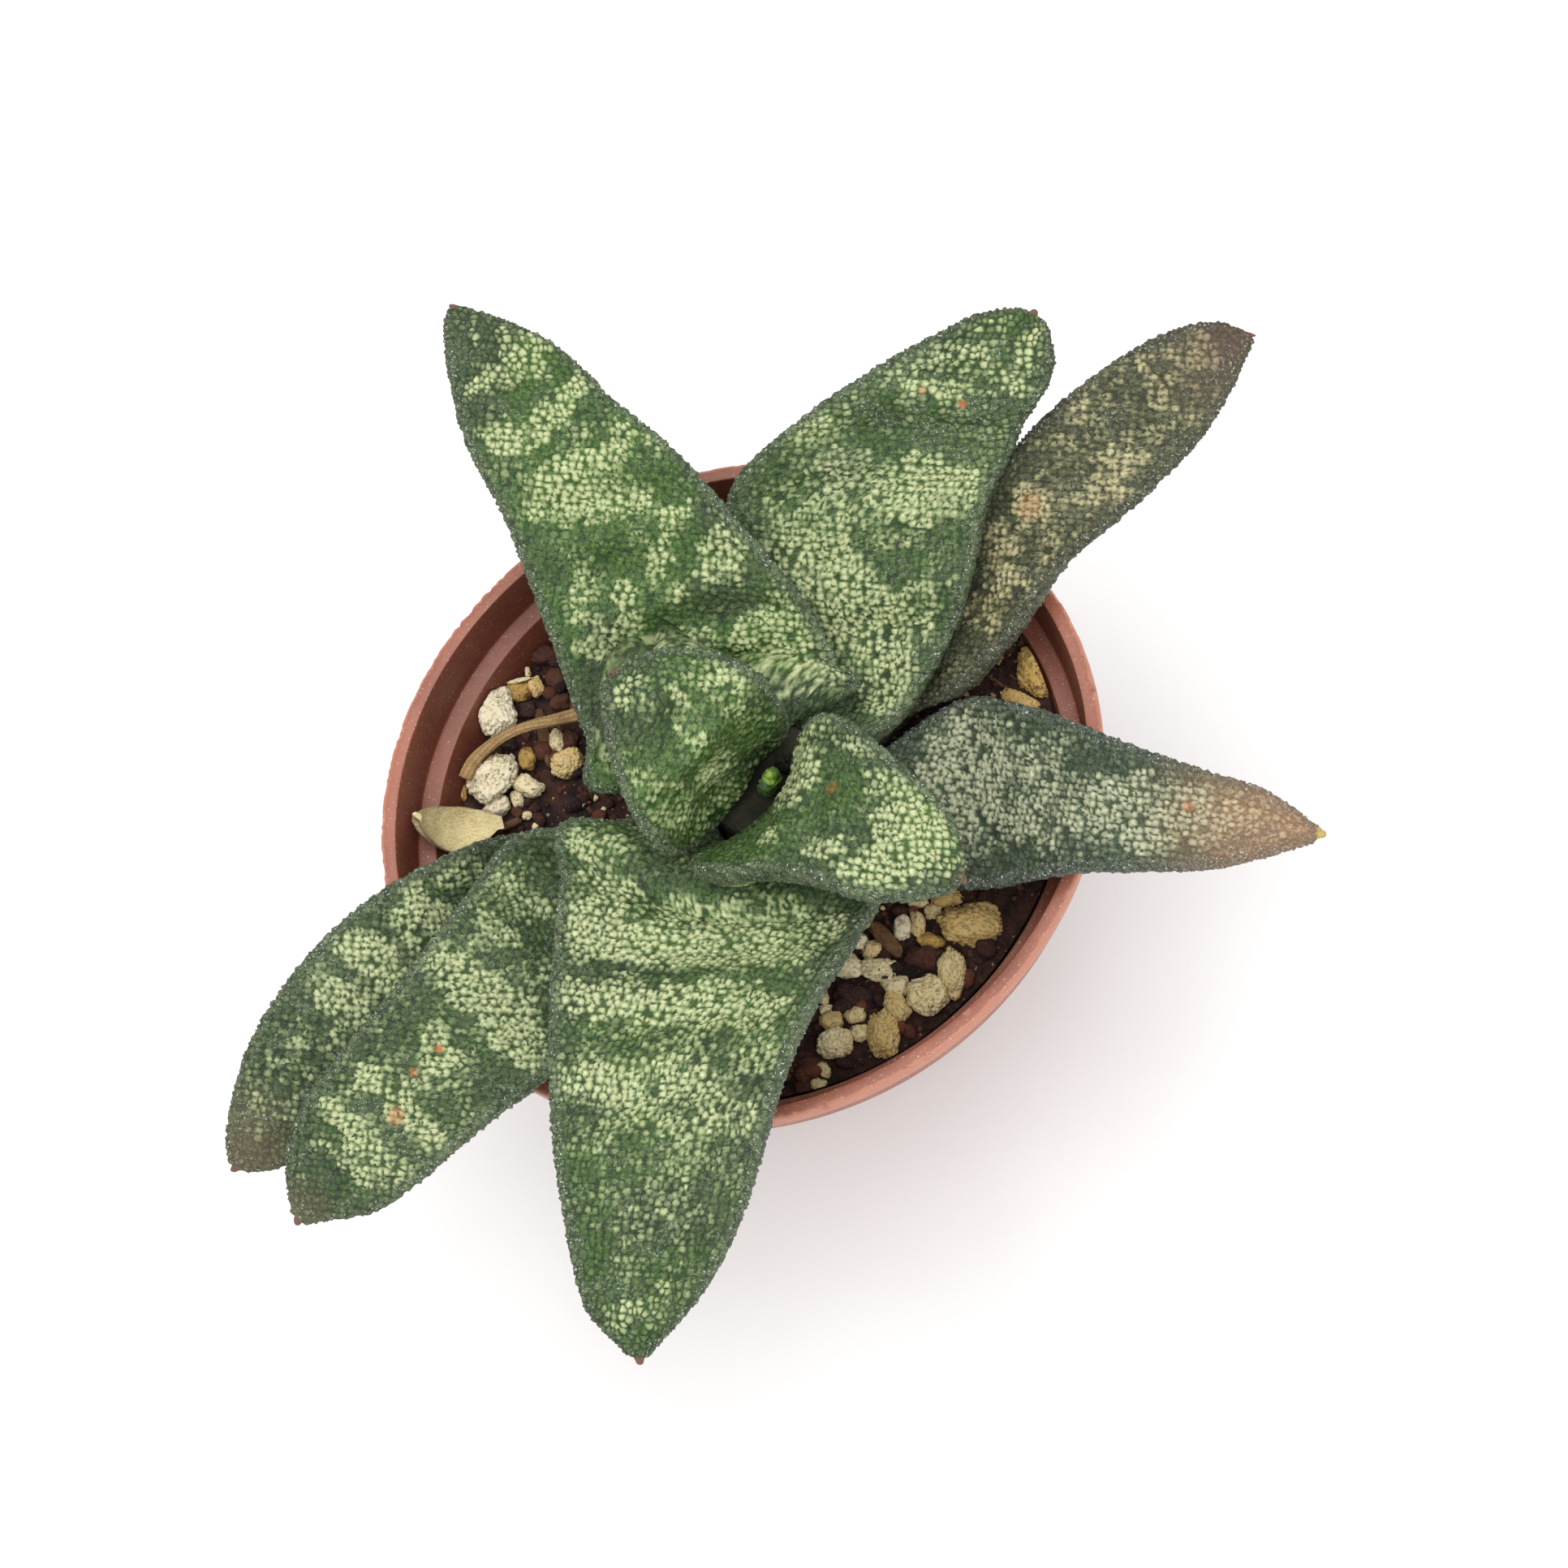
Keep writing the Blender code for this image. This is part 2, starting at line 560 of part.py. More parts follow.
def make_stem(collection, material):
    """The stem, with the withered remains of a young leaf on its top, in the middle of the crown."""
    bm = bmesh.new()
    bmesh.ops.create_cone(
        bm,
        cap_ends=True,
        segments=24,
        radius1=STEM_RADIUS,
        radius2=STEM_RADIUS,
        depth=STEM_TOP - STEM_BOTTOM,
    )
    middle = (STEM_AXIS[0], STEM_AXIS[1], (STEM_TOP + STEM_BOTTOM) / 2)
    bmesh.ops.translate(bm, vec=middle, verts=bm.verts)
    stem = object_from(bm, "stem", collection, material)
    withered = collection_named("withered")
    bm = bmesh.new()
    bmesh.ops.create_icosphere(bm, subdivisions=2, radius=0.5)
    bmesh.ops.scale(bm, vec=WITHERED_BULGE_SIZE, verts=bm.verts)
    bmesh.ops.translate(bm, vec=(*WITHERED_BULGE, STEM_TOP), verts=bm.verts)
    object_from(bm, "withered_bulge", withered, material)
    join_collection(stem, withered)
    return stem


def station_rows(leaf):
    """Every station as one row: left edge, right edge, dip, belly, lead of the middle."""
    rows = []
    if leaf["foot"]:
        degrees, z, half, belly = leaf["foot"]
        out = heading(degrees)
        side = Vector((-out.y, out.x, 0))
        middle = Vector((*STEM_AXIS, z)) + out * (STEM_RADIUS + FOOT_GAP)
        rows.append((*(middle + side * half), *(middle - side * half), 0.4, belly, 0.0))
    for left, right, dip, belly, lead in leaf["stations"]:
        rows.append((*left, *right, dip, belly, lead))
    return np.array(rows, float)


def reach_of(rows):
    """Distance of each station from the foot, along the middle of the leaf."""
    middles = (rows[:, 0:3] + rows[:, 3:6]) / 2
    steps = np.linalg.norm(np.diff(middles, axis=0), axis=1)
    return np.concatenate([[0], np.cumsum(steps)])


def smooth_rows(rows, shares):
    """Rows read at the given shares of the leaf's length, on a smooth curve through the stations."""
    reach = reach_of(rows)
    slopes = np.gradient(rows, reach, axis=0)
    found = []
    for share in shares:
        place = share * reach[-1]
        k = min(len(reach) - 2, int(np.searchsorted(reach, place, side="right")) - 1)
        span = reach[k + 1] - reach[k]
        t = (place - reach[k]) / span
        found.append(
            (2 * t**3 - 3 * t**2 + 1) * rows[k]
            + (t**3 - 2 * t**2 + t) * span * slopes[k]
            + (3 * t**2 - 2 * t**3) * rows[k + 1]
            + (t**3 - t**2) * span * slopes[k + 1]
        )
    return np.array(found)


def unit(vector):
    return vector / max(1e-9, np.linalg.norm(vector))


def leaf_frames(leaf, rings):
    """The sections of a leaf from foot to spine, closer together towards the tip."""
    stations = station_rows(leaf)
    length = reach_of(stations)[-1]
    body = 1 - SPINE_LENGTH / length
    shares = [body * (1 - (1 - i / (rings - 2)) ** 1.2) for i in range(rings - 1)]
    rows = smooth_rows(stations, shares)
    middles = (rows[:, 0:3] + rows[:, 3:6]) / 2
    along = np.gradient(middles, axis=0)
    frames = []
    side = unit(rows[0, 0:3] - rows[0, 3:6])
    for i in range(rings + 1):
        k = min(i, rings - 2)
        row = rows[k]
        forward = unit(along[k])
        across = row[0:3] - row[3:6]
        half = np.linalg.norm(across) / 2
        if half > 0.8:
            side = unit(across)
        side = unit(side - forward * np.dot(side, forward))
        up = np.cross(side, -forward)
        frame = {
            "middle": middles[k],
            "side": side if half <= 0.8 else unit(across),
            "up": unit(up),
            "forward": forward,
            "half": max(half, 0.9),
            "dip": row[6],
            "belly": max(row[7], 0.8),
            "lead": row[8],
            "edge": min(EDGE, 0.35 + half * 0.2),
            "place": shares[k] * length,
        }
        if i > rings - 2:
            reach = (i - rings + 2) / 2
            radius = 0.55 + (SPINE_RADIUS - 0.55) * reach
            frame["middle"] = middles[k] + forward * SPINE_LENGTH * reach
            frame.update(half=radius, dip=0, belly=radius, edge=radius, lead=0)
        frames.append(frame)
    return frames


def leaf_point(leaf, frame, turn):
    """A point of the section: turn 0 is the left edge, a quarter turn the upper face, half the right edge."""
    across = math.cos(turn)
    rise = math.sin(turn)
    hollow = 1 - across * across
    height = -frame["dip"] * hollow
    size, wave = leaf["ripple"]
    fade = min(1.0, frame["half"] / 8)
    height += size * fade * hollow * math.sin(math.tau * frame["place"] / wave + 1.5 * across)
    if rise >= 0:
        height += frame["edge"] * rise**0.6
    else:
        height -= min(frame["belly"], FLESH) * (-rise) ** 0.75
        height -= max(frame["belly"] - FLESH, 0.0) * (-rise) ** 5
        across += leaf["keel"] * -rise
    return (
        frame["middle"]
        + frame["side"] * frame["half"] * across
        + frame["up"] * height
        + frame["forward"] * frame["lead"] * hollow
    )


def leaf_mesh(leaf, sides, rings):
    """A closed tube whose points are moved onto the leaf, with a wart on every other one."""
    bm = bmesh.new()
    bmesh.ops.create_cone(
        bm, cap_ends=True, cap_tris=True, segments=sides, radius1=1, radius2=1, depth=1
    )
    upright = [edge for edge in bm.edges if abs(edge.verts[0].co.z - edge.verts[1].co.z) > 0.5]
    bmesh.ops.subdivide_edges(bm, edges=upright, cuts=rings - 1, use_grid_fill=True)
    frames = leaf_frames(leaf, rings)
    warts = []
    for vert in bm.verts:
        ring = round((vert.co.z + 0.5) * rings)
        if vert.co.xy.length < 0.5:
            vert.co = Vector(frames[ring]["middle"])
            vert.co -= Vector(frames[ring]["up"]) * frames[ring]["dip"] * 0.8
            continue
        turn = math.atan2(vert.co.y, vert.co.x) % math.tau
        step = round(turn / math.tau * sides)
        vert.co = Vector(leaf_point(leaf, frames[ring], turn))
        if 1 < ring < rings - 2 and (ring + step) % 2:
            warts.append(vert)
    bm.normal_update()
    raised = [(vert, vert.normal.copy()) for vert in warts]
    for vert, normal in raised:
        vert.co += normal * WART_HEIGHT
    return bm


def make_leaf(name, leaf, collection, material):
    small = name == "leaf_bud"
    bm = leaf_mesh(leaf, 8 if small else LEAF_SIDES, 8 if small else LEAF_RINGS)
    return object_from(bm, name, collection, material, 60)


def make_dry_leaf(collection, material):
    bm = leaf_mesh(DRY_LEAF, 12, 12)
    return object_from(bm, "dry_leaf", collection, material, 60)


def make_dry_stalk(collection, material):
    curve = bpy.data.curves.new("dry_stalk", "CURVE")
    curve.dimensions = "3D"
    curve.bevel_depth = STALK_RADIUS * MM
    curve.bevel_resolution = 1
    curve.use_fill_caps = True
    spline = curve.splines.new("POLY")
    spline.points.add(len(STALK_POINTS) - 1)
    for point, place in zip(spline.points, STALK_POINTS):
        point.co = (*(value * MM for value in place), 1)
    curve.materials.append(material)
    stalk = bpy.data.objects.new("dry_stalk", curve)
    collection.objects.link(stalk)
    return stalk


def main():
    clear_scene()
    plant = collection_named("gasteria")
    cutters = collection_named("cutters")
    terracotta = finish("red_brown_plastic", (172, 104, 82), 0.45)
    soil_finish = finish("dark_soil", (66, 44, 34), 0.95)
    pumice = finish("pale_pumice", (222, 205, 168), 0.9)
    flesh = finish("warty_leaf", (98, 124, 82), 0.5)
    young = finish("young_leaf", (96, 152, 56), 0.4)
    stem_finish = finish("stem_fibre", (120, 130, 84), 0.7)
    dry = finish("dry_leaf", (226, 204, 160), 0.8)
    straw = finish("dry_stalk", (176, 134, 84), 0.8)
    make_pot(plant, cutters, terracotta)
    make_soil(plant, soil_finish, pumice)
    make_stem(plant, stem_finish)
    for name, leaf in LEAVES.items():
        make_leaf(name, leaf, plant, young if name == "leaf_bud" else flesh)
    make_dry_leaf(plant, dry)
    make_dry_stalk(plant, straw)


main()
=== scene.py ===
import itertools
import math
import random

import bmesh
import bpy
import numpy as np
from mathutils import Euler, Matrix, Vector, noise


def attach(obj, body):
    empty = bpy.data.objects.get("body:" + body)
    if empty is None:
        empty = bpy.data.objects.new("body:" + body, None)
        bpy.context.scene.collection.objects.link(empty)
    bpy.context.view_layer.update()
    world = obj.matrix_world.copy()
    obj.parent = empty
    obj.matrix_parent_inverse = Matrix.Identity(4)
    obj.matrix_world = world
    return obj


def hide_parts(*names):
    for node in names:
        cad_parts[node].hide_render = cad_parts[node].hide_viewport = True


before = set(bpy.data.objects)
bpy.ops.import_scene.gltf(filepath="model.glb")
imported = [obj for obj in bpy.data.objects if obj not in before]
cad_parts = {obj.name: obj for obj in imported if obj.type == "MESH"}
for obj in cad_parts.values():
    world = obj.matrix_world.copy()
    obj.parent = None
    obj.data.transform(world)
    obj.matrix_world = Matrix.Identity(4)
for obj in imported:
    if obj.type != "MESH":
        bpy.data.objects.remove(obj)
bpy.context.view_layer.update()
mm = 0.001  # sizes below are in millimetres, meshes in metres
gap = 0.3


class Value:
    # a shader socket that takes part in Python expressions
    def __init__(self, finish, socket):
        self.finish = finish
        self.socket = socket

    def math(self, operation, first, second=None):
        inputs = {0: first} if second is None else {0: first, 1: second}
        made = self.finish.node("ShaderNodeMath", {"operation": operation}, inputs)
        return Value(self.finish, made.outputs[0])

    def __add__(self, other):
        return self.math("ADD", self, other)

    def __radd__(self, other):
        return self.math("ADD", other, self)

    def __sub__(self, other):
        return self.math("SUBTRACT", self, other)

    def __rsub__(self, other):
        return self.math("SUBTRACT", other, self)

    def __mul__(self, other):
        return self.math("MULTIPLY", self, other)

    def __rmul__(self, other):
        return self.math("MULTIPLY", other, self)

    def clamped(self):
        return self.math("MINIMUM", self.math("MAXIMUM", self, 0.0), 1.0)

    def step(self, start, end):
        # 0 below start, 1 above end, smooth between
        made = self.finish.node(
            "ShaderNodeMapRange",
            {"interpolation_type": "SMOOTHSTEP"},
            {"Value": self, "From Min": start, "From Max": end},
        )
        return Value(self.finish, made.outputs["Result"])


class Finish:
    # one material, its nodes made and joined by node()
    def __init__(self, name, roughness=0.5):
        self.material = bpy.data.materials.new(name)
        self.material.use_nodes = True
        self.tree = self.material.node_tree
        self.shader = self.tree.nodes["Principled BSDF"]
        self.shader.inputs["Roughness"].default_value = roughness
        place = self.node("ShaderNodeTexCoord").outputs["Object"]
        scaled = self.node(
            "ShaderNodeVectorMath", {"operation": "SCALE"}, {0: place, "Scale": 1 / mm}
        )
        self.place = scaled.outputs[0]  # object coordinates in millimetres

    def node(self, kind, settings=None, inputs=None):
        made = self.tree.nodes.new(kind)
        for name, value in (settings or {}).items():
            if name == "stops":
                self.setStops(made.color_ramp, value)
            else:
                setattr(made, name, value)
        for name, value in (inputs or {}).items():
            self.feed(made.inputs[name], value)
        return made

    def setStops(self, ramp, stops):
        while len(ramp.elements) < len(stops):
            ramp.elements.new(1.0)
        for element, (place, colour) in zip(ramp.elements, stops):
            element.position = place
            element.color = colour

    def feed(self, socket, value):
        if isinstance(value, Value):
            self.tree.links.new(value.socket, socket)
        elif isinstance(value, bpy.types.NodeSocket):
            self.tree.links.new(value, socket)
        else:
            socket.default_value = value

    def noise(self, size, detail=3.0, roughness=0.55, stretch=None):
        place = self.place
        if stretch:
            place = self.node(
                "ShaderNodeVectorMath", {"operation": "MULTIPLY"}, {0: place, 1: stretch}
            ).outputs[0]
        made = self.node(
            "ShaderNodeTexNoise",
            None,
            {"Vector": place, "Scale": 1 / size, "Detail": detail, "Roughness": roughness},
        )
        return Value(self, made.outputs["Fac"])

    def attribute(self, name):
        made = self.node("ShaderNodeAttribute", {"attribute_name": name})
        return Value(self, made.outputs["Fac"])

    def blend(self, share, first, second):
        made = self.node("ShaderNodeMix", {"data_type": "RGBA"}, {0: share, 6: first, 7: second})
        return made.outputs[2]

    def colour(self, value):
        self.feed(self.shader.inputs["Base Color"], value)

    def rough(self, value):
        self.feed(self.shader.inputs["Roughness"], value)

    def relief(self, height, distance, strength=1.0):
        made = self.node(
            "ShaderNodeBump", None, {"Height": height, "Distance": distance * mm, "Strength": strength}
        )
        self.feed(self.shader.inputs["Normal"], made.outputs["Normal"])


def rgb(red, green, blue):
    # an sRGB colour of 0 to 255 as the linear colour that a shader takes
    def linear(channel):
        value = channel / 255
        return value / 12.92 if value <= 0.04045 else ((value + 0.055) / 1.055) ** 2.4

    return (linear(red), linear(green), linear(blue), 1.0)


def hash01(cell, salt):
    # a steady random number of 0 to 1 for every whole-numbered cell in space
    mixed = cell[..., 0] * 127.1 + cell[..., 1] * 311.7 + cell[..., 2] * 74.7 + salt * 19.19
    value = np.sin(mixed) * 43758.5453
    return value - np.floor(value)


def fade(t):
    t = np.clip(t, 0.0, 1.0)
    return t * t * (3 - 2 * t)


def softNoise(places, salt):
    # smooth noise of 0 to 1 in space
    cell = np.floor(places)
    share = fade(places - cell)
    total = 0.0
    for corner in itertools.product((0, 1), repeat=3):
        weight = np.prod(np.where(np.array(corner) == 1, share, 1 - share), axis=-1)
        total = total + weight * hash01(cell + corner, salt)
    return total


def unit(vectors):
    return vectors / np.maximum(1e-9, np.linalg.norm(vectors, axis=-1, keepdims=True))


def readPoints(mesh):
    flat = np.empty(len(mesh.vertices) * 3, np.float32)
    mesh.vertices.foreach_get("co", flat)
    return flat.reshape(-1, 3).astype(float)


def writePoints(mesh, points):
    mesh.vertices.foreach_set("co", np.ascontiguousarray(points * mm, np.float32).ravel())
    mesh.update()


def addAttribute(mesh, name, values):
    made = mesh.attributes.new(name, "FLOAT", "POINT")
    made.data.foreach_set("value", np.ascontiguousarray(values, np.float32).ravel())


def pieceFrom(mesh, name, finish, slot, *nodes):
    mesh.materials.clear()
    mesh.materials.append(finish.material)
    mesh.shade_smooth()
    piece = bpy.data.objects.new(name, mesh)
    bpy.context.scene.collection.objects.link(piece)
    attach(piece, "root")
    if nodes:
        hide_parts(*nodes)
    return piece


stem = {
    "axis": (5.0, -1.5),
    "radius": 7.5,
    "bottom": 40.0,
    "top": 79.5,
    "bulge": (7.9, -0.1),
    "bulgeSize": (3.8, 2.6, 9.6),
    "levels": 90,
    "scars": 0.35,
}
leafForm = {
    "edge": 1.1,
    "flesh": 4.8,
    "spineLength": 1.3,
    "spineRadius": 0.32,
    "spineRings": 8,
    "tipRadius": 0.6,
    "footGap": 0.6,
    "upperStep": 0.29,
    "lowerStep": 0.6,
    "alongStep": 0.3,
}
warts = {
    "spacing": 0.86,
    "jitter": 0.28,
    "radius": 0.66,
    "height": 0.4,
    "grainSpacing": 0.62,
    "grainHeight": 0.22,
    "grainRadius": 0.36,
    "tilt": (0.5, 0.9, 0.3),
    "clusters": (2.3, 1.05),
    "underStripe": 11,
    "underStrength": 0.62,
    "paleFrom": 0.14,
    "paleOver": 0.62,
    "lumpSizes": (5.5, 2.4, 4.6),
}

# Each leaf: foot on the stem (direction, height, half width, belly) and stations (left edge, right
# edge, dip, belly, lead), as in the solids; then its blotches of pale warts as seen from above (x, y,
# half length, half width, turn in degrees, strength), rusty spots (x, y, radius, strength), lumps and
# greyness, the length of its tinted tip, and how lush its green is.
leaves = {
    "leaf_right": {
        "foot": (-12, 67.0, 4.8, 7.6),
        "stations": [
            ((18.5, 6.0, 66.5), (20.5, -10.5, 67.0), 0.8, 6.6, 0),
            ((27.5, 11.0, 68.5), (28.0, -13.0, 69.5), 1.0, 5.2, 0),
            ((35.5, 8.5, 74.0), (36.0, -13.0, 73.0), 1.2, 5.0, 0),
            ((42.5, 5.0, 77.4), (42.0, -13.0, 76.6), 0.9, 4.6, 0),
            ((50.5, 1.0, 79.5), (50.5, -13.5, 78.5), 0.6, 4.8, 0),
            ((59.0, -2.5, 80.5), (59.5, -13.5, 79.5), 0.3, 4.0, 0),
            ((65.5, -5.0, 80.5), (66.0, -12.0, 79.5), 0.1, 3.2, 0),
            ((69.2, -7.6, 80.0), (69.5, -11.0, 79.5), 0.0, 2.2, 0),
            ((72.2, -9.9, 79.2), (72.2, -9.9, 79.2), 0.0, 0.6, 0),
        ],
        "keel": 0.0,
        "ripple": (0.25, 11.0),
        "blotches": [
            (28, 1, 5.9, 8.0, 0, 0.75), (39, -5, 6.9, 4.0, -10, 0.65), (36, 2, 4.9, 2.6, 0, 0.65),
            (49, -7, 7.8, 4.4, 0, 0.75), (58, -7, 6.9, 3.6, 0, 0.7), (65, -8, 3.9, 2.6, 0, 0.5),
        ],
        "spots": [(56, -6.5, 0.8, 0.4)],
        "lumps": 0.5,
        "bloom": 0.5,
        "tint": 22.0,
        "lush": 0.1,
    },
    "leaf_upper_right": {
        "foot": (50, 63.5, 4.2, 5.4),
        "stations": [
            ((14.0, 13.0, 64.5), (20.0, 10.0, 65.5), 0.4, 4.6, 0),
            ((21.0, 19.5, 68.5), (27.3, 11.6, 70.8), 0.6, 4.4, 0),
            ((26.0, 26.5, 72.0), (34.6, 17.6, 75.3), 0.6, 4.6, 0),
            ((30.2, 32.5, 77.0), (41.0, 25.0, 78.8), 0.7, 4.8, 0),
            ((35.5, 39.0, 82.0), (47.5, 29.5, 81.0), 0.6, 5.2, 0),
            ((42.5, 45.0, 84.0), (54.5, 35.5, 82.5), 0.3, 5.0, 0),
            ((49.5, 49.5, 85.0), (59.5, 41.0, 84.0), 0.2, 4.4, 0),
            ((55.0, 52.0, 85.5), (62.5, 46.5, 84.5), 0.1, 3.6, 0),
            ((60.7, 52.6, 85.5), (64.1, 50.1, 85.0), 0.0, 2.2, 0),
            ((64.7, 51.2, 85.3), (64.7, 51.2, 85.3), 0.0, 0.6, 0),
        ],
        "keel": 0.06,
        "ripple": (0.3, 10.0),
        "blotches": [
            (52, 42, 9.0, 4.0, 45, 0.34), (40, 31, 9.0, 4.0, 45, 0.32),
            (58, 49, 2.7, 1.8, -60, 0.6), (50, 48, 4.1, 1.1, 20, 0.55), (53, 44, 3.5, 1.4, -50, 0.6),
            (57, 41, 2.9, 1.4, 10, 0.6), (44, 45, 2.5, 1.2, 35, 0.65), (43, 42, 2.0, 1.2, 0, 0.55),
            (48, 36, 3.5, 1.7, 10, 0.7), (42, 37, 2.5, 1.4, -60, 0.5), (46, 33, 4.1, 1.4, -10, 0.65),
            (37, 32, 2.2, 2.0, 0, 0.9), (33, 28, 2.4, 1.8, -50, 0.65), (34, 24, 4.1, 1.3, -40, 0.6),
            (31, 21, 3.1, 2.4, -30, 0.6), (39, 28, 2.5, 1.0, -60, 0.4), (40, 24, 2.9, 1.0, -10, 0.4),
        ],
        "spots": [(37, 32, 1.6, 0.3)],
        "lumps": 0.7,
        "bloom": 0.6,
        "tint": 14.0,
        "lush": 0.0,
    },
    "leaf_far_left": {
        "foot": (203, 63.5, 4.2, 5.4),
        "stations": [
            ((-15.0, -12.5, 63.0), (-17.5, -5.5, 63.5), 0.5, 4.6, 0),
            ((-26.0, -14.5, 65.0), (-28.5, -4.5, 66.5), 0.5, 4.0, 0),
            ((-33.0, -20.0, 71.0), (-35.5, -9.0, 73.5), 0.5, 3.6, 0),
            ((-38.0, -26.0, 74.2), (-41.5, -13.5, 77.2), 0.5, 3.6, 0),
            ((-43.5, -32.0, 74.0), (-48.5, -19.5, 78.0), 0.5, 4.2, 0),
            ((-48.5, -38.0, 73.0), (-55.0, -27.0, 77.0), 0.3, 4.2, 0),
            ((-52.5, -44.0, 71.5), (-59.5, -35.5, 75.5), 0.1, 3.6, 0),
            ((-55.0, -46.8, 71.0), (-61.2, -42.3, 74.0), 0.0, 3.0, 0),
            ((-58.2, -47.4, 70.8), (-61.6, -45.5, 72.0), 0.0, 1.8, 0),
            ((-61.5, -47.6, 70.8), (-61.5, -47.6, 70.8), 0.0, 0.6, 0),
        ],
        "keel": -0.04,
        "ripple": (0.2, 12.0),
        "blotches": [
            (-38, -17, 3.1, 2.8, -60, 0.77), (-44, -22, 5.1, 2.0, -20, 0.68),
            (-41, -25, 4.1, 2.0, -35, 0.72), (-47, -28, 4.3, 2.4, -40, 0.72),
            (-47, -31, 2.5, 1.8, 0, 0.59), (-34, -11, 3.5, 1.5, 30, 0.51),
            (-54, -37, 5.9, 3.0, 70, 0.42), (-55, -43, 4.9, 2.2, 0, 0.42),
        ],
        "spots": [(-41.0, -29.5, 0.8, 0.5)],
        "lumps": 0.5,
        "bloom": 0.75,
        "tint": 13.0,
        "lush": 0.0,
    },
    "leaf_top": {
        "foot": (58, 73.0, 5.0, 6.4),
        "stations": [
            ((9.0, 13.6, 73.0), (21.0, 8.8, 72.6), 0.8, 4.8, 0),
            ((4.5, 20.0, 76.5), (27.0, 17.3, 76.5), 1.2, 4.8, 0),
            ((1.0, 27.5, 80.5), (29.5, 22.8, 80.5), 1.2, 5.4, 0),
            ((0.5, 34.0, 83.5), (31.5, 30.3, 83.5), 1.2, 5.8, 0),
            ((9.5, 41.0, 88.0), (35.0, 37.0, 86.0), 1.0, 6.2, 0),
            ((18.0, 45.8, 90.5), (37.0, 40.5, 88.0), 0.6, 5.8, 0),
            ((26.2, 49.8, 92.0), (40.0, 44.8, 90.0), 0.2, 5.0, 0),
            ((32.2, 52.4, 92.0), (40.5, 48.2, 91.0), 0.0, 4.0, 0),
            ((36.1, 53.0, 91.5), (39.8, 50.9, 91.0), 0.0, 2.4, 0),
            ((38.5, 53.3, 91.0), (38.5, 53.3, 91.0), 0.0, 0.6, 0),
        ],
        "keel": -0.14,
        "ripple": (0.45, 9.0),
        "blotches": [
            (33, 51, 3.1, 1.0, 0, 0.5), (30, 47, 4.5, 1.5, -10, 0.65), (35, 45, 3.9, 1.4, -35, 0.75),
            (27, 44, 5.1, 1.3, -5, 0.65), (38, 48, 1.8, 2.2, 0, 0.45), (20, 45, 5.9, 1.8, 25, 0.4),
            (12, 39, 4.4, 3.4, -50, 0.6), (15, 36, 3.9, 2.5, -40, 0.5), (26, 34, 6.1, 2.2, -5, 0.8),
            (30, 31, 3.1, 2.0, 0, 0.5), (22, 31, 5.9, 2.0, -10, 0.65), (14, 32, 4.9, 2.8, -20, 0.5),
            (11, 26, 6.9, 4.0, -45, 0.7), (16, 20, 7.8, 4.2, -50, 0.75), (23, 19, 5.9, 2.4, 70, 0.6),
            (18, 12, 5.9, 3.4, -60, 0.7),
        ],
        "spots": [(29.6, 41.8, 0.5, 0.9), (24.8, 43.6, 0.5, 0.5)],
        "lumps": 0.9,
        "bloom": 0.65,
        "tint": 0.0,
        "lush": 0.45,
    },
    "leaf_lower_left": {
        "foot": (209, 72.6, 4.5, 5.4),
        "stations": [
            ((-11.5, -17.0, 72.0), (-17.5, -5.0, 72.0), 0.8, 5.0, 0),
            ((-18.5, -21.0, 75.0), (-26.5, -7.0, 75.0), 1.2, 5.0, 0),
            ((-18.0, -30.0, 78.0), (-31.0, -14.5, 78.5), 1.4, 5.2, 0),
            ((-21.0, -38.5, 80.0), (-36.0, -22.5, 80.5), 1.3, 5.4, 0),
            ((-25.7, -42.3, 81.0), (-40.5, -29.0, 81.0), 1.0, 5.4, 0),
            ((-31.0, -46.5, 80.5), (-46.3, -35.8, 80.5), 0.6, 5.0, 0),
            ((-36.7, -51.0, 79.0), (-50.7, -41.7, 79.0), 0.3, 4.4, 0),
            ((-42.3, -53.8, 77.0), (-52.5, -46.5, 77.5), 0.1, 3.6, 0),
            ((-48.2, -54.4, 75.5), (-52.5, -51.0, 76.0), 0.0, 2.2, 0),
            ((-52.0, -54.9, 74.5), (-52.0, -54.9, 74.5), 0.0, 0.6, 0),
        ],
        "keel": 0.0,
        "ripple": (0.35, 10.0),
        "blotches": [
            (-36, -42, 9.0, 6.0, -40, 0.36), (-26, -26, 9.0, 6.0, -40, 0.42),
            (-44, -48, 4.9, 1.3, -35, 0.65), (-42, -46, 7.6, 1.4, -42, 1.0),
            (-38, -42, 7.8, 1.4, -45, 1.0), (-33, -36, 2.5, 1.2, 20, 0.8), (-34, -33, 1.4, 2.6, 0, 0.5),
            (-30, -27, 7.4, 2.8, -40, 0.95), (-24, -33, 4.9, 2.8, -50, 0.9),
            (-32, -24, 3.5, 1.2, -30, 0.65), (-26, -15, 5.1, 3.0, -40, 0.5),
            (-27, -20, 4.1, 1.4, -45, 0.55), (-40, -37, 3.1, 1.2, 20, 0.3),
        ],
        "spots": [(-33.6, -34.8, 0.5, 1.0), (-36.5, -37.8, 0.6, 0.5), (-38.6, -42.9, 1.2, 0.45)],
        "lumps": 0.7,
        "bloom": 0.6,
        "tint": 7.0,
        "lush": 0.25,
    },
    "leaf_upper_left": {
        "foot": (122, 76.0, 5.5, 17.0),
        "stations": [
            ((-13.5, -2.0, 77.5), (14.0, 9.5, 77.5), 2.2, 13.0, 8),
            ((-17.0, 4.0, 80.0), (13.3, 13.0, 80.5), 2.2, 9.0, 4),
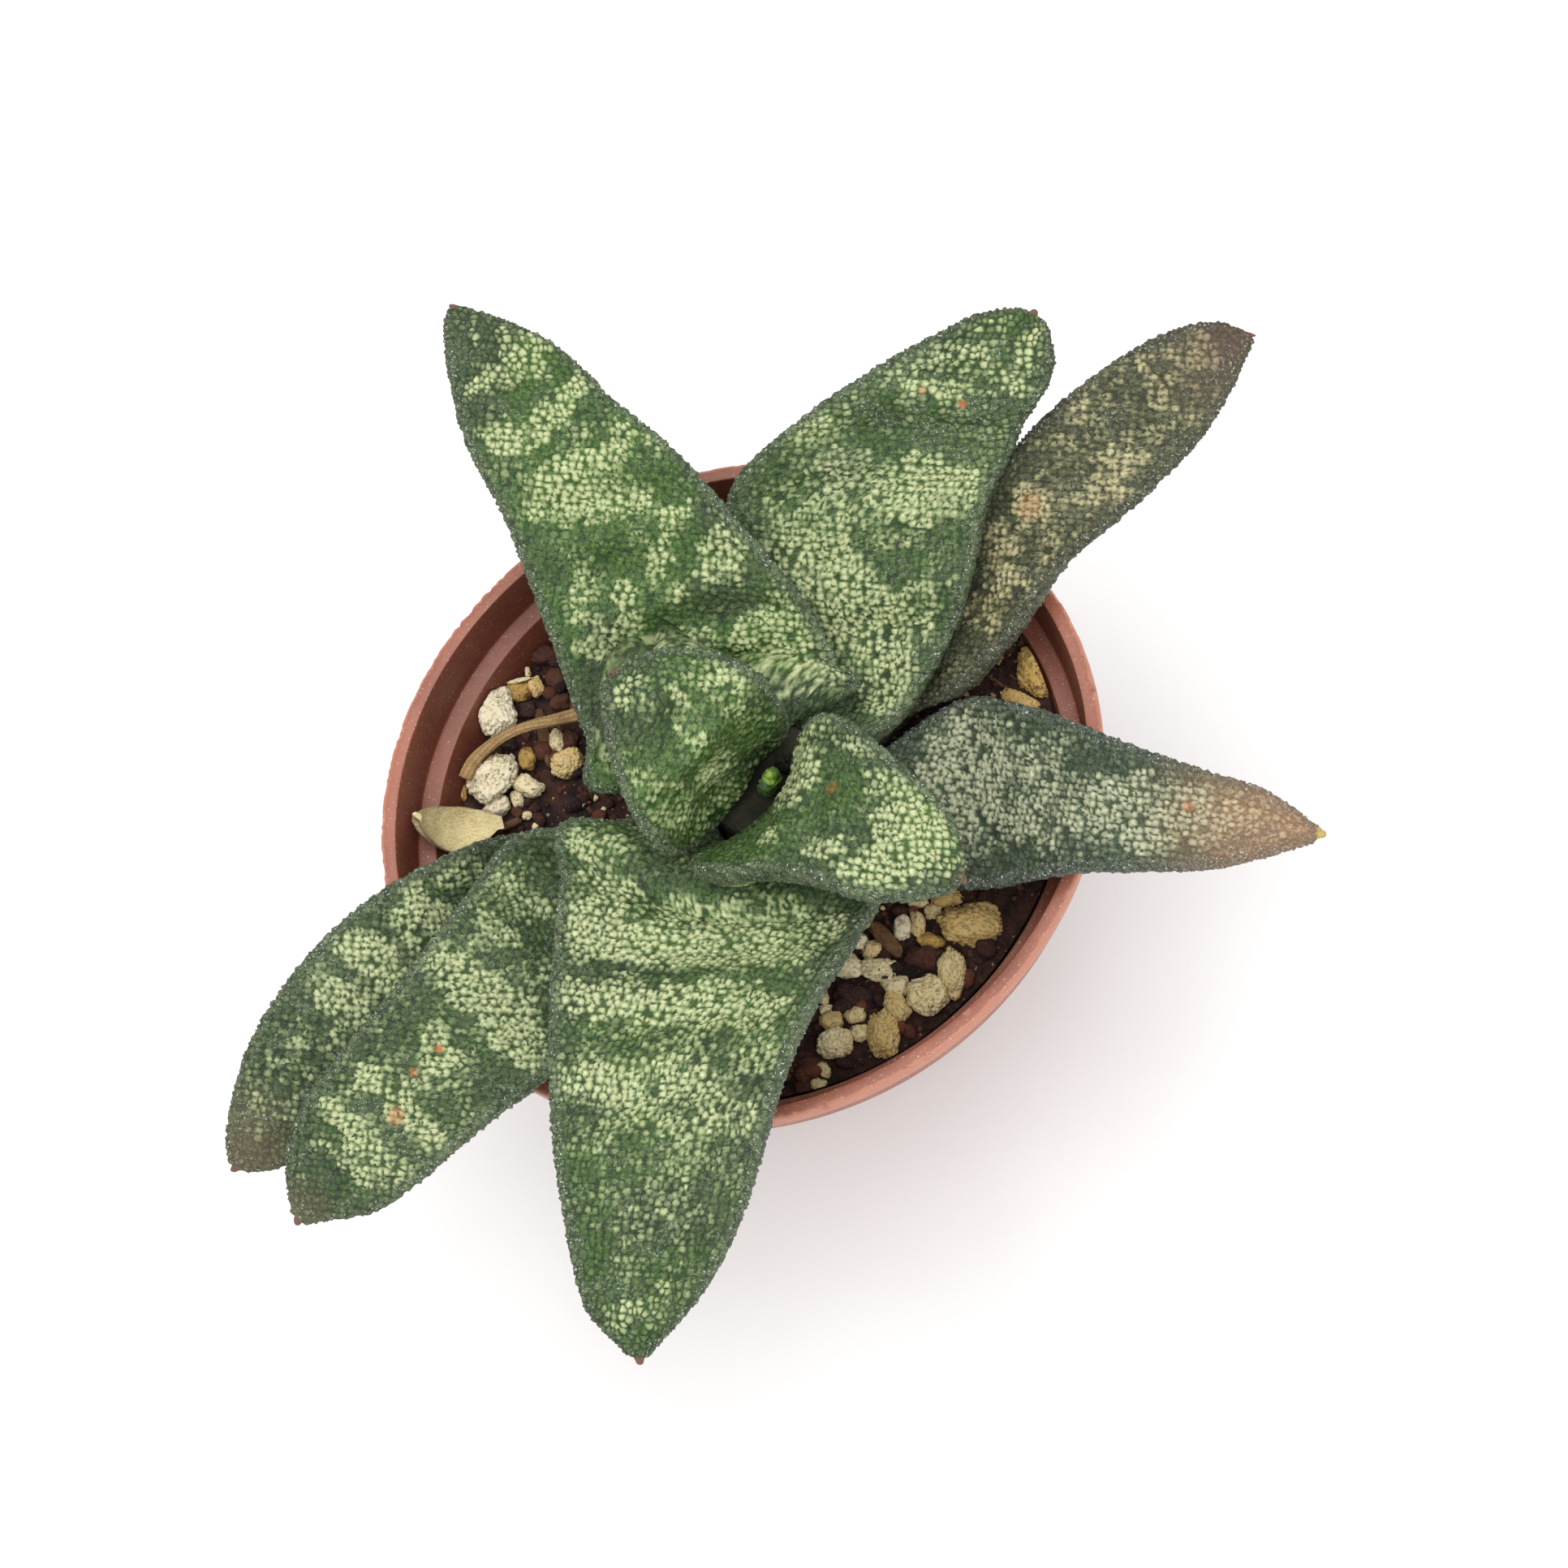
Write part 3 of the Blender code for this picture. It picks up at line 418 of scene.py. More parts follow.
            ((-20.0, 12.5, 83.5), (10.8, 18.0, 83.5), 1.8, 7.2, 1),
            ((-23.5, 22.0, 87.0), (6.3, 23.6, 87.0), 1.4, 6.6, 0),
            ((-26.5, 30.0, 90.0), (0.4, 30.3, 90.0), 1.0, 6.4, 0),
            ((-30.4, 37.5, 93.0), (-5.5, 36.7, 92.0), 0.6, 6.0, 0),
            ((-32.2, 44.7, 95.0), (-12.8, 42.8, 93.0), 0.3, 5.4, 0),
            ((-33.0, 50.4, 96.0), (-21.5, 50.6, 94.0), 0.0, 4.0, 0),
            ((-33.0, 53.0, 96.0), (-28.3, 53.4, 95.0), 0.0, 2.4, 0),
            ((-32.8, 55.0, 95.4), (-32.8, 55.0, 95.4), 0.0, 0.6, 0),
        ],
        "keel": 0.16,
        "ripple": (0.6, 9.5),
        "blotches": [
            (-28, 49, 2.9, 1.2, 10, 0.32), (-23, 49, 3.7, 1.5, 35, 0.72), (-26, 45, 4.9, 1.3, 20, 0.68),
            (-17, 44, 2.9, 1.4, 30, 0.72), (-20, 40, 3.5, 1.8, 40, 0.81), (-25, 38, 2.7, 1.6, 5, 0.77),
            (-18, 38, 4.4, 1.2, 10, 0.27), (-10, 39, 3.5, 2.0, -35, 0.5), (-16, 34, 5.7, 2.2, 25, 0.85),
            (-17, 31, 6.5, 2.5, 5, 0.81), (-23, 31, 1.6, 2.4, 0, 0.45), (-18, 26, 2.7, 2.4, 0, 0.36),
            (-10, 30, 2.5, 2.6, 0, 0.54), (-5, 29, 2.2, 1.4, 35, 0.77), (-7, 25, 3.7, 1.4, 50, 0.72),
            (0, 24, 4.1, 2.5, 50, 0.72), (-17, 21, 2.0, 1.8, -60, 0.68), (-17, 17, 2.5, 1.0, 0, 0.45),
            (-12, 20, 2.5, 1.3, -75, 0.77), (-11, 17, 2.0, 1.2, -70, 0.68), (-5, 20, 1.6, 1.0, 20, 0.63),
            (-15, 15, 3.5, 1.3, 15, 0.59), (-3, 16, 3.1, 1.0, -5, 0.45), (4, 17, 3.5, 1.5, 25, 0.63),
            (7, 20, 2.2, 1.0, 40, 0.36), (10, 14, 5.1, 2.8, -40, 0.72), (5, 14, 3.9, 1.2, -10, 0.63),
            (7, 10, 4.9, 1.4, 0, 0.54),
        ],
        "spots": [],
        "lumps": 0.9,
        "bloom": 0.35,
        "tint": 0.0,
        "lush": 0.9,
    },
    "leaf_front": {
        "foot": (268, 76.0, 5.5, 17.0),
        "stations": [
            ((18.5, -15.5, 80.5), (-18.5, -6.5, 80.0), 3.0, 13.0, 7),
            ((17.5, -20.6, 83.5), (-19.0, -15.0, 83.0), 3.4, 9.5, 3),
            ((13.8, -28.6, 87.0), (-18.9, -28.4, 86.5), 2.6, 7.6, 1),
            ((10.0, -37.6, 88.5), (-18.5, -38.0, 88.0), 1.6, 7.2, 0),
            ((7.4, -46.5, 88.5), (-17.8, -46.8, 88.0), 0.6, 7.0, 0),
            ((4.8, -55.0, 87.0), (-16.5, -55.3, 87.0), 0.1, 6.4, 0),
            ((1.2, -62.2, 85.0), (-15.2, -62.2, 85.0), 0.0, 5.4, 0),
            ((-2.3, -66.8, 83.0), (-13.6, -67.1, 83.0), 0.0, 4.2, 0),
            ((-5.9, -70.2, 81.5), (-10.5, -70.2, 81.5), 0.0, 2.4, 0),
            ((-8.1, -72.6, 80.2), (-8.1, -72.6, 80.2), 0.0, 0.6, 0),
        ],
        "keel": 0.1,
        "ripple": (0.5, 10.5),
        "blotches": [
            (-4, -50, 10.0, 7.0, 0, 0.4), (-4, -62, 7.0, 6.0, 0, 0.32), (-2, -36, 12.0, 5.0, 0, 0.42),
            (-15, -10, 4.4, 2.2, -30, 0.65), (-14, -18, 4.5, 4.2, 0, 0.65),
            (-9, -23, 8.8, 2.4, -8, 1.0), (-5, -19, 2.5, 2.0, 0, 0.7), (3, -23, 7.8, 3.2, 0, 0.8),
            (4, -19, 6.1, 1.8, 10, 0.6), (12, -22, 4.9, 2.8, 40, 0.65), (-8, -31, 9.0, 1.9, -4, 1.0),
            (3, -32, 5.9, 1.7, 8, 0.85), (-12, -28, 4.9, 0.8, -5, 0.6), (0, -29, 5.9, 1.0, 0, 0.65),
            (-7, -41, 11.0, 3.6, -8, 0.7), (-4, -36, 5.9, 1.2, -5, 0.45), (-14, -39, 3.1, 2.5, 0, 0.6),
            (3, -45, 3.9, 2.6, 0, 0.65), (-5, -46, 5.9, 1.6, -10, 0.6), (-10, -55, 5.9, 2.4, 0, 0.35),
            (1, -59, 3.3, 1.2, 20, 0.35), (-8, -64, 4.9, 1.0, 0, 0.3), (-7, -67, 5.5, 1.2, 0, 0.5),
        ],
        "spots": [],
        "lumps": 0.8,
        "bloom": 0.5,
        "tint": 0.0,
        "lush": 0.55,
    },
    "leaf_heart_left": {
        "foot": None,
        "stations": [
            ((0.0, -6.0, 80.0), (7.0, 3.5, 80.0), 1.2, 2.8, 0),
            ((-5.0, -13.0, 87.5), (8.5, 3.5, 87.0), 2.6, 3.4, 0),
            ((-7.5, -11.0, 93.0), (8.8, 3.6, 93.0), 1.6, 4.0, 0),
            ((-9.5, -6.7, 97.0), (7.4, 5.2, 98.0), -0.6, 4.4, 0),
            ((-10.4, -2.2, 100.0), (4.0, 7.0, 100.5), -1.0, 4.2, 0),
            ((-10.8, 1.4, 102.0), (-1.0, 8.2, 101.5), -0.6, 3.4, 0),
            ((-10.8, 3.2, 102.6), (-6.4, 7.0, 102.4), 0.0, 2.0, 0),
            ((-10.0, 5.2, 102.4), (-10.0, 5.2, 102.4), 0.0, 0.6, 0),
        ],
        "keel": 0.0,
        "ripple": (0.5, 8.0),
        "blotches": [
            (-7, 2, 2.5, 2.2, 45, 0.49), (-2, 2, 4.3, 1.1, -80, 0.46), (2, 4, 4.1, 3.2, 0, 0.49),
            (6, 2, 2.9, 2.0, -30, 0.37), (0, -3, 4.9, 1.6, -75, 0.49), (4, 0, 2.9, 0.9, 0, 0.31),
            (-7, -4, 2.5, 1.4, 0, 0.37), (-5, -8, 4.5, 2.4, -10, 0.49), (1, -4, 2.9, 3.0, 0, 0.37),
            (-4, -12, 3.9, 1.4, 0, 0.31),
        ],
        "spots": [],
        "lumps": 2.2,
        "bloom": 0.2,
        "tint": 1.6,
        "lush": 0.95,
    },
    "leaf_heart_right": {
        "foot": None,
        "stations": [
            ((11.5, -0.5, 80.0), (4.0, -8.5, 80.0), 0.6, 2.2, 0),
            ((10.8, 1.0, 88.0), (-2.5, -14.5, 87.5), 4.4, 3.4, 0),
            ((12.8, 2.2, 92.0), (0.5, -16.2, 91.0), 3.2, 4.6, 0),
            ((17.2, 0.7, 95.0), (8.9, -17.0, 94.0), 1.2, 4.8, 0),
            ((22.1, -3.8, 97.0), (14.7, -19.0, 96.0), 0.2, 4.4, 0),
            ((25.6, -7.2, 97.5), (20.6, -21.0, 96.5), -0.3, 3.8, 0),
            ((28.6, -10.3, 97.0), (25.7, -20.9, 96.0), -0.2, 3.2, 0),
            ((30.6, -14.5, 95.5), (28.9, -20.0, 94.8), 0.0, 2.2, 0),
            ((31.2, -18.8, 94.0), (31.2, -18.8, 94.0), 0.0, 0.6, 0),
        ],
        "keel": -0.22,
        "ripple": (0.35, 8.0),
        "blotches": [
            (14, 1, 4.1, 1.8, 30, 0.65), (11, -4, 4.3, 1.8, 70, 0.6), (19, -3, 3.1, 1.2, -10, 0.6),
            (24, -8, 3.7, 1.5, -20, 0.85), (25, -13, 5.3, 3.6, -50, 0.9), (23, -17, 5.9, 2.8, 30, 0.95),
            (15, -15, 2.2, 1.2, 10, 0.9), (8, -13, 1.8, 1.2, 0, 0.7), (28, -17, 3.1, 2.6, 0, 0.6),
        ],
        "spots": [(15.5, -7.5, 0.8, 0.3)],
        "lumps": 1.0,
        "bloom": 0.25,
        "tint": 3.0,
        "lush": 0.7,
    },
    "leaf_bud": {
        "foot": None,
        "stations": [
            ((6.2, -1.6, 80.0), (4.6, -3.6, 80.0), 0.0, 0.9, 0),
            ((7.0, -2.0, 83.5), (5.2, -4.2, 83.5), 0.0, 1.1, 0),
            ((7.2, -2.6, 86.5), (6.0, -4.2, 86.5), 0.0, 0.9, 0),
            ((6.9, -3.6, 88.5), (6.9, -3.6, 88.5), 0.0, 0.4, 0),
        ],
        "keel": 0.0,
        "ripple": (0.0, 8.0),
        "blotches": [],
        "spots": [],
        "lumps": 0.3,
        "bloom": 0.0,
        "tint": 0.0,
        "lush": 1.0,
    },
}


def stationRows(leaf):
    # every station as one row: left edge, right edge, dip, belly, lead
    rows = []
    if leaf["foot"]:
        degrees, z, half, belly = leaf["foot"]
        turn = math.radians(degrees)
        out = np.array((math.cos(turn), math.sin(turn), 0.0))
        side = np.array((-out[1], out[0], 0.0))
        middle = np.array((*stem["axis"], z)) + out * (stem["radius"] + leafForm["footGap"])
        rows.append((*(middle + side * half), *(middle - side * half), 0.4, belly, 0.0))
    for left, right, dip, belly, lead in leaf["stations"]:
        rows.append((*left, *right, dip, belly, lead))
    return np.array(rows, float)


def reachOf(rows):
    middles = (rows[:, 0:3] + rows[:, 3:6]) / 2
    steps = np.linalg.norm(np.diff(middles, axis=0), axis=1)
    return np.concatenate([[0], np.cumsum(steps)])


def readRows(rows, shares):
    # rows on a smooth curve through the stations, at the given shares of the leaf's length
    reach = reachOf(rows)
    slopes = np.gradient(rows, reach, axis=0)
    places = shares * reach[-1]
    k = np.clip(np.searchsorted(reach, places, side="right") - 1, 0, len(reach) - 2)
    span = (reach[k + 1] - reach[k])[:, None]
    t = (places - reach[k])[:, None] / span
    return (
        (2 * t**3 - 3 * t**2 + 1) * rows[k]
        + (t**3 - 2 * t**2 + t) * span * slopes[k]
        + (3 * t**2 - 2 * t**3) * rows[k + 1]
        + (t**3 - t**2) * span * slopes[k + 1]
    )


def ringShares(stations, body, rings):
    # shares of the length for the rings, even along whichever edge runs longest, and that way in mm
    fine = np.linspace(0, body, 3000)
    rows = readRows(stations, fine)
    ends = np.stack([rows[:, 0:3], rows[:, 3:6], (rows[:, 0:3] + rows[:, 3:6]) / 2])
    way = np.linalg.norm(np.diff(ends, axis=1), axis=2).max(axis=0)
    way = np.concatenate([[0], np.cumsum(way)])
    even = way[-1] * (1 - (1 - np.arange(rings) / (rings - 1)) ** 1.15)
    return np.interp(even, way, fine), way[-1]


def leafFrames(leaf, rings):
    # middle, axes and section sizes of every ring from the foot to the tip of the spine
    spineRings = leafForm["spineRings"]
    stations = stationRows(leaf)
    length = reachOf(stations)[-1]
    body = 1 - leafForm["spineLength"] / length
    shares, _ = ringShares(stations, body, rings)
    rows = readRows(stations, shares)
    middle = (rows[:, 0:3] + rows[:, 3:6]) / 2
    forward = unit(np.gradient(middle, axis=0))
    across = rows[:, 0:3] - rows[:, 3:6]
    half = np.linalg.norm(across, axis=1) / 2
    side = unit(across)
    last = side[0]
    for i in range(rings):
        if half[i] > 0.8:
            last = side[i]
        else:
            last = unit(last - forward[i] * np.dot(last, forward[i]))
            side[i] = last
    up = unit(np.cross(side, -forward))
    edge = np.minimum(leaf.get("edge", leafForm["edge"]), 0.35 + half * 0.2)
    sections = {
        "middle": middle,
        "side": side,
        "up": up,
        "forward": forward,
        "half": np.maximum(half, 0.9),
        "dip": rows[:, 6],
        "belly": np.maximum(rows[:, 7], 0.8),
        "lead": rows[:, 8],
        "edge": edge,
        "place": shares * length,
    }
    reach = np.arange(1, spineRings + 1) / spineRings
    radius = leafForm["tipRadius"] + (leafForm["spineRadius"] - leafForm["tipRadius"]) * reach
    radius[-1] = 0.02
    radius[-2] *= 0.75
    for key in ("side", "up", "forward", "lead", "dip"):
        tail = np.repeat(sections[key][-1:], spineRings, axis=0)
        sections[key] = np.concatenate([sections[key], tail * (key not in ("lead", "dip"))])
    tip = middle[-1] + forward[-1] * leafForm["spineLength"] * reach[:, None]
    sections["middle"] = np.concatenate([middle, tip])
    for key in ("half", "belly", "edge"):
        sections[key] = np.concatenate([sections[key], radius])
    beyond = sections["place"][-1] + leafForm["spineLength"] * reach
    sections["place"] = np.concatenate([sections["place"], beyond])
    return sections


def turnsAround(upper, lower):
    # angles round the section from the middle of the belly, evenly spaced on the wide faces
    def spread(count):
        s = np.linspace(-1, 1, count + 1)
        return 0.3 * s + 0.7 * np.arcsin(s) * 2 / math.pi

    top = math.pi / 2 * (1 + spread(upper))
    under = math.pi / 2 * (1 + spread(lower))
    half = lower // 2
    return np.concatenate([under[half:] - math.pi, top[1:], under[1 : half + 1] + math.pi])


def leafPoints(leaf, sections, turns):
    # the points of every ring; turn 0 is the left edge, a quarter turn the upper face
    across = np.cos(turns)[None, :]
    rise = np.sin(turns)[None, :]
    hollow = 1 - across**2
    size, wave = leaf["ripple"]
    column = {key: sections[key][:, None] for key in ("half", "dip", "belly", "lead", "edge", "place")}
    height = -column["dip"] * hollow
    swing = np.sin(math.tau * column["place"] / wave + 1.5 * across)
    height = height + size * np.minimum(1.0, column["half"] / 8) * hollow * swing
    above = np.maximum(rise, 0.0)
    below = np.maximum(-rise, 0.0)
    height = height + column["edge"] * above**0.6
    height = height - np.minimum(column["belly"], leafForm["flesh"]) * below**0.75
    height = height - np.maximum(column["belly"] - leafForm["flesh"], 0.0) * below**5
    shift = across + leaf["keel"] * below
    return (
        sections["middle"][:, None, :]
        + sections["side"][:, None, :] * (column["half"] * shift)[..., None]
        + sections["up"][:, None, :] * height[..., None]
        + sections["forward"][:, None, :] * (column["lead"] * hollow)[..., None]
    )


def outwards(points):
    # outward directions on a grid of rings
    along = np.gradient(points, axis=0)
    around = np.gradient(points, axis=1)
    seam = points[:, 1] - points[:, -2]
    around[:, 0] = seam
    around[:, -1] = seam
    normals = unit(np.cross(along, around))
    centre = points[:, :-1].mean(axis=1, keepdims=True)
    if np.median(np.sum(normals * (points - centre), axis=-1)) < 0:
        normals = -normals
    return normals


def blotchAt(leaf, places):
    # how pale the warts are at places on the leaf, from its blotches with ragged outlines
    wander = 2.2 * (softNoise(places / 2.6, 7) - 0.5), 2.2 * (softNoise(places / 2.6, 8) - 0.5)
    pale = np.zeros(places.shape[:-1])
    for x, y, length, width, degrees, strength in leaf["blotches"]:
        turn = math.radians(degrees)
        right = places[..., 0] + wander[0] - x
        ahead = places[..., 1] + wander[1] - y
        u = (right * math.cos(turn) + ahead * math.sin(turn)) / length
        v = (ahead * math.cos(turn) - right * math.sin(turn)) / width
        pale = np.maximum(pale, strength * fade(1.7 - np.hypot(u, v)))
    return pale


def wartsAt(points, normals, spacing, radius, salt):
    # warts sit at jittered places in space; a leaf shows those within half a spacing of its surface.
    # Gives how far a point is from its wart's middle (1 at its rim or at the groove to the next wart),
    # that wart's place and a random tone for it
    far = 9.0
    tilt = np.array(Euler(warts["tilt"]).to_matrix())
    tilted = points @ tilt
    facing = normals @ tilt
    cell = np.floor(tilted / spacing)
    nearest = np.full(points.shape[:-1], far)
    second = np.full(points.shape[:-1], far)
    tone = np.zeros(points.shape[:-1])
    seat = tilted.copy()
    for step in itertools.product((-1, 0, 1), repeat=3):
        spot = cell + step
        jitter = np.stack([hash01(spot, salt + k) for k in range(3)], axis=-1)
        centre = (spot + 0.5 + warts["jitter"] * (2 * jitter - 1)) * spacing
        away = tilted - centre
        depth = np.sum(away * facing, axis=-1)
        flat = np.sqrt(np.maximum(0.0, np.sum(away * away, axis=-1) - depth**2))
        reach = flat / (radius * (0.78 + 0.44 * hash01(spot, salt + 5)))
        reach = np.where(np.abs(depth) < spacing / 2, reach, far)
        closer = reach < nearest
        second = np.where(closer, nearest, np.minimum(second, reach))
        nearest = np.where(closer, reach, nearest)
        tone = np.where(closer, hash01(spot, salt + 7), tone)
        seat = np.where(closer[..., None], centre, seat)
    reach = np.maximum(nearest, nearest / np.maximum(second, 1e-6))
    return reach, seat @ tilt.T, tone


def sheetMesh(name, columns, rings):
    # a flat grid whose vertices carry their column and ring, to be rolled into a closed form
    bm = bmesh.new()
    bmesh.ops.create_grid(bm, x_segments=columns, y_segments=rings, size=0.5)
    mesh = bpy.data.meshes.new(name)
    bm.to_mesh(mesh)
    bm.free()
    flat = readPoints(mesh)
    column = np.rint((flat[:, 0] + 0.5) * columns).astype(int)
    ring = np.rint((flat[:, 1] + 0.5) * rings).astype(int)
    return mesh, column, ring


def closed(mesh):
    # welds the seam and the poles, and turns every face outwards
    bm = bmesh.new()
    bm.from_mesh(mesh)
    bmesh.ops.remove_doubles(bm, verts=bm.verts, dist=0.002 * mm)
    bmesh.ops.recalc_face_normals(bm, faces=bm.faces)
    bm.to_mesh(mesh)
    bm.free()


def rolled(name, points, values):
    # a closed piece from a grid of rings, with its values as attributes
    mesh, column, ring = sheetMesh(name, points.shape[1] - 1, points.shape[0] - 1)
    writePoints(mesh, points[ring, column])
    for key, grid in values.items():
        addAttribute(mesh, key, grid[ring, column])
    closed(mesh)
    return mesh


def leafGrid(leaf):
    # the smooth leaf as a grid of rings that is fine enough for its warts
    stations = stationRows(leaf)
    length = reachOf(stations)[-1]
    widest = np.linalg.norm(stations[:, 0:3] - stations[:, 3:6], axis=1).max()
    upper = max(24, int(widest * 1.03 / leafForm["upperStep"]))
    lower = max(12, 2 * int(widest * 0.6 / leafForm["lowerStep"]))
    _, way = ringShares(stations, 1 - leafForm["spineLength"] / length, 30)
    sections = leafFrames(leaf, max(30, int(way / leafForm["alongStep"])))
    turns = turnsAround(upper, lower)
    return sections, turns, leafPoints(leaf, sections, turns)


def skinMarks(leaf, skin, fromTip, pale, nearMargin, under, salt):
    # grey film, tinted tip, rusty spots and lush green over the skin, each 0 to 1
    cloud = 0.6 * softNoise(skin / 3.0, salt + 30) + 0.4 * softNoise(skin / 1.1, salt + 31)
    bloom = leaf["bloom"] * fade((cloud - 0.3) / 0.4) * (0.4 + 0.6 * fade(1.3 - fromTip / 30))
    bloom = np.clip(np.maximum(bloom * (1 - 0.6 * pale), nearMargin * (0.6 + 0.4 * cloud)), 0, 1)
    tint = fade(1.2 - fromTip / max(leaf["tint"], 0.01)) if leaf["tint"] else np.zeros_like(fromTip)
    spot = np.zeros_like(fromTip)
    for x, y, size, strength in leaf["spots"]:
        away = np.hypot(skin[..., 0] - x, skin[..., 1] - y) / size
        spot = np.maximum(spot, strength * fade(1.6 - away * 1.2) * (1 - under))
    lush = leaf["lush"] * fade((softNoise(skin / 7, salt + 40) - 0.25) / 0.4)
    lush = lush * (1 - 0.7 * nearMargin) * (1 - 0.7 * under)
    return {"bloom": bloom, "tint": tint, "spot": spot, "lush": lush}


def makeLeaf(name, leaf, finish, salt):
    sections, turns, points = leafGrid(leaf)
    normals = outwards(points)
    strides = np.linalg.norm(np.diff(points, axis=0), axis=2)
    fromTip = np.concatenate([np.cumsum(strides[::-1], axis=0)[::-1], np.zeros((1, len(turns)))])
    rise = np.sin(turns)[None, :]
    margin = np.abs(np.cos(turns))[None, :] * np.ones_like(fromTip)
    toMargin = sections["half"][:, None] * (1 - margin) + 1.2 * np.maximum(0, -rise)
    fromFoot = np.concatenate([np.zeros((1, len(turns))), np.cumsum(strides, axis=0)])
    grown = fade((fromFoot - 0.5) / 2)
    body = fade(fromTip / 2.5) * grown
    under = fade(-rise * 3)
    nearMargin = fade(1.25 - toMargin / 1.5)

    reach, seat, tone = wartsAt(points, normals, warts["spacing"], warts["radius"], salt)
    coarse, fine = warts["clusters"]
    cluster = 0.6 * softNoise(seat / coarse, salt + 1) + 0.4 * softNoise(seat / fine, salt + 2)
    drawn = blotchAt(leaf, seat) * (1 - under)
    swing = fromTip * math.tau / warts["underStripe"] + 5 * softNoise(seat / 9, salt + 3)
    stripes = 0.5 + 0.5 * np.sin(swing)
    drawn = np.maximum(drawn, under * warts["underStrength"] * stripes)
    drawn = np.maximum(drawn, 0.04 + 0.24 * leaf["bloom"])
    pale = drawn + 0.9 * (cluster - 0.5) + 0.3 * (tone - 0.5) - warts["paleFrom"]
    pale = fade(pale / warts["paleOver"])
    pale = pale * (1 - 0.75 * nearMargin)
    dome = np.maximum(0.0, 1 - (reach / (0.8 + 0.2 * pale)) ** 2)
    grain, _, _ = wartsAt(points, normals, warts["grainSpacing"], warts["grainRadius"], salt + 11)
    grain = np.maximum(0.0, 1 - grain**2)
    wide, narrow, folded = warts["lumpSizes"]
    swell = softNoise(points / wide, salt + 20) + 0.5 * softNoise(points / narrow, salt + 21)
    fold = 1 - np.abs(2 * softNoise(points / folded, salt + 23) - 1)
    lift = warts["height"] * dome * (1 - 0.4 * nearMargin) * (0.62 + 0.45 * pale)
    lift = lift + warts["grainHeight"] * grain * (0.2 + 1.2 * nearMargin)
    lumps = 0.5 * (swell - 0.75) + 0.4 * (fold - 0.7)
    lift = (lift + leaf["lumps"] * lumps * (1 - 0.8 * nearMargin)) * body
    points = points + normals * lift[..., None]

    # poles: the foot closes on its middle, the spine on its point
    start = sections["middle"][0] - sections["up"][0] * sections["dip"][0] * 0.8
    points = np.concatenate([np.broadcast_to(start, (1, len(turns), 3)), points])
    points[-1] = points[-1].mean(axis=0)
    points[:, -1] = points[:, 0]

    values = {
        "wart": dome * body,
        "pale": pale * grown,
        "band": fade((drawn - 0.3) / 0.5) * grown,
        **skinMarks(leaf, points[1:], fromTip, pale, nearMargin, under, salt),
        "spine": fade(1 - (fromTip - 1.0) / 0.8),
    }
    for key, grid in values.items():
        values[key] = np.concatenate([np.zeros((1, len(turns))), grid])
        values[key][:, -1] = values[key][:, 0]
    mesh = rolled(name, points, values)
    pieceFrom(mesh, name.replace("leaf_", "fine_leaf_"), finish, "leaf", name)


skinLooks = {
    "green": {
        "ground": rgb(27, 47, 20),
        "lush": rgb(46, 88, 18),
        "dimDot": rgb(74, 96, 54),
        "paleDot": rgb(202, 208, 158),
        "bloom": rgb(110, 120, 92),
        "tip": rgb(112, 92, 70),
        "halo": rgb(102, 138, 56),
        "spine": rgb(120, 84, 70),
    },
    "olive": {
        "ground": rgb(42, 48, 30),
        "lush": rgb(70, 84, 34),
        "dimDot": rgb(98, 98, 66),
        "paleDot": rgb(198, 188, 144),
        "bloom": rgb(88, 88, 72),
        "tip": rgb(104, 80, 68),
        "halo": rgb(112, 124, 66),
        "spine": rgb(112, 76, 66),
    },
    "blushed": {
        "ground": rgb(38, 54, 38),
        "lush": rgb(48, 84, 34),
        "dimDot": rgb(78, 92, 66),
        "paleDot": rgb(196, 198, 164),
        "bloom": rgb(104, 108, 98),
        "tip": rgb(190, 146, 112),
        "halo": rgb(104, 128, 82),
        "spine": rgb(196, 168, 96),
    },
    "bud": {
        "ground": rgb(84, 140, 24),
        "lush": rgb(110, 176, 24),
        "dimDot": rgb(110, 160, 40),
        "paleDot": rgb(170, 190, 90),
        "bloom": rgb(100, 120, 90),
        "tip": rgb(150, 160, 80),
        "halo": rgb(120, 170, 30),
        "spine": rgb(150, 180, 70),
    },
}


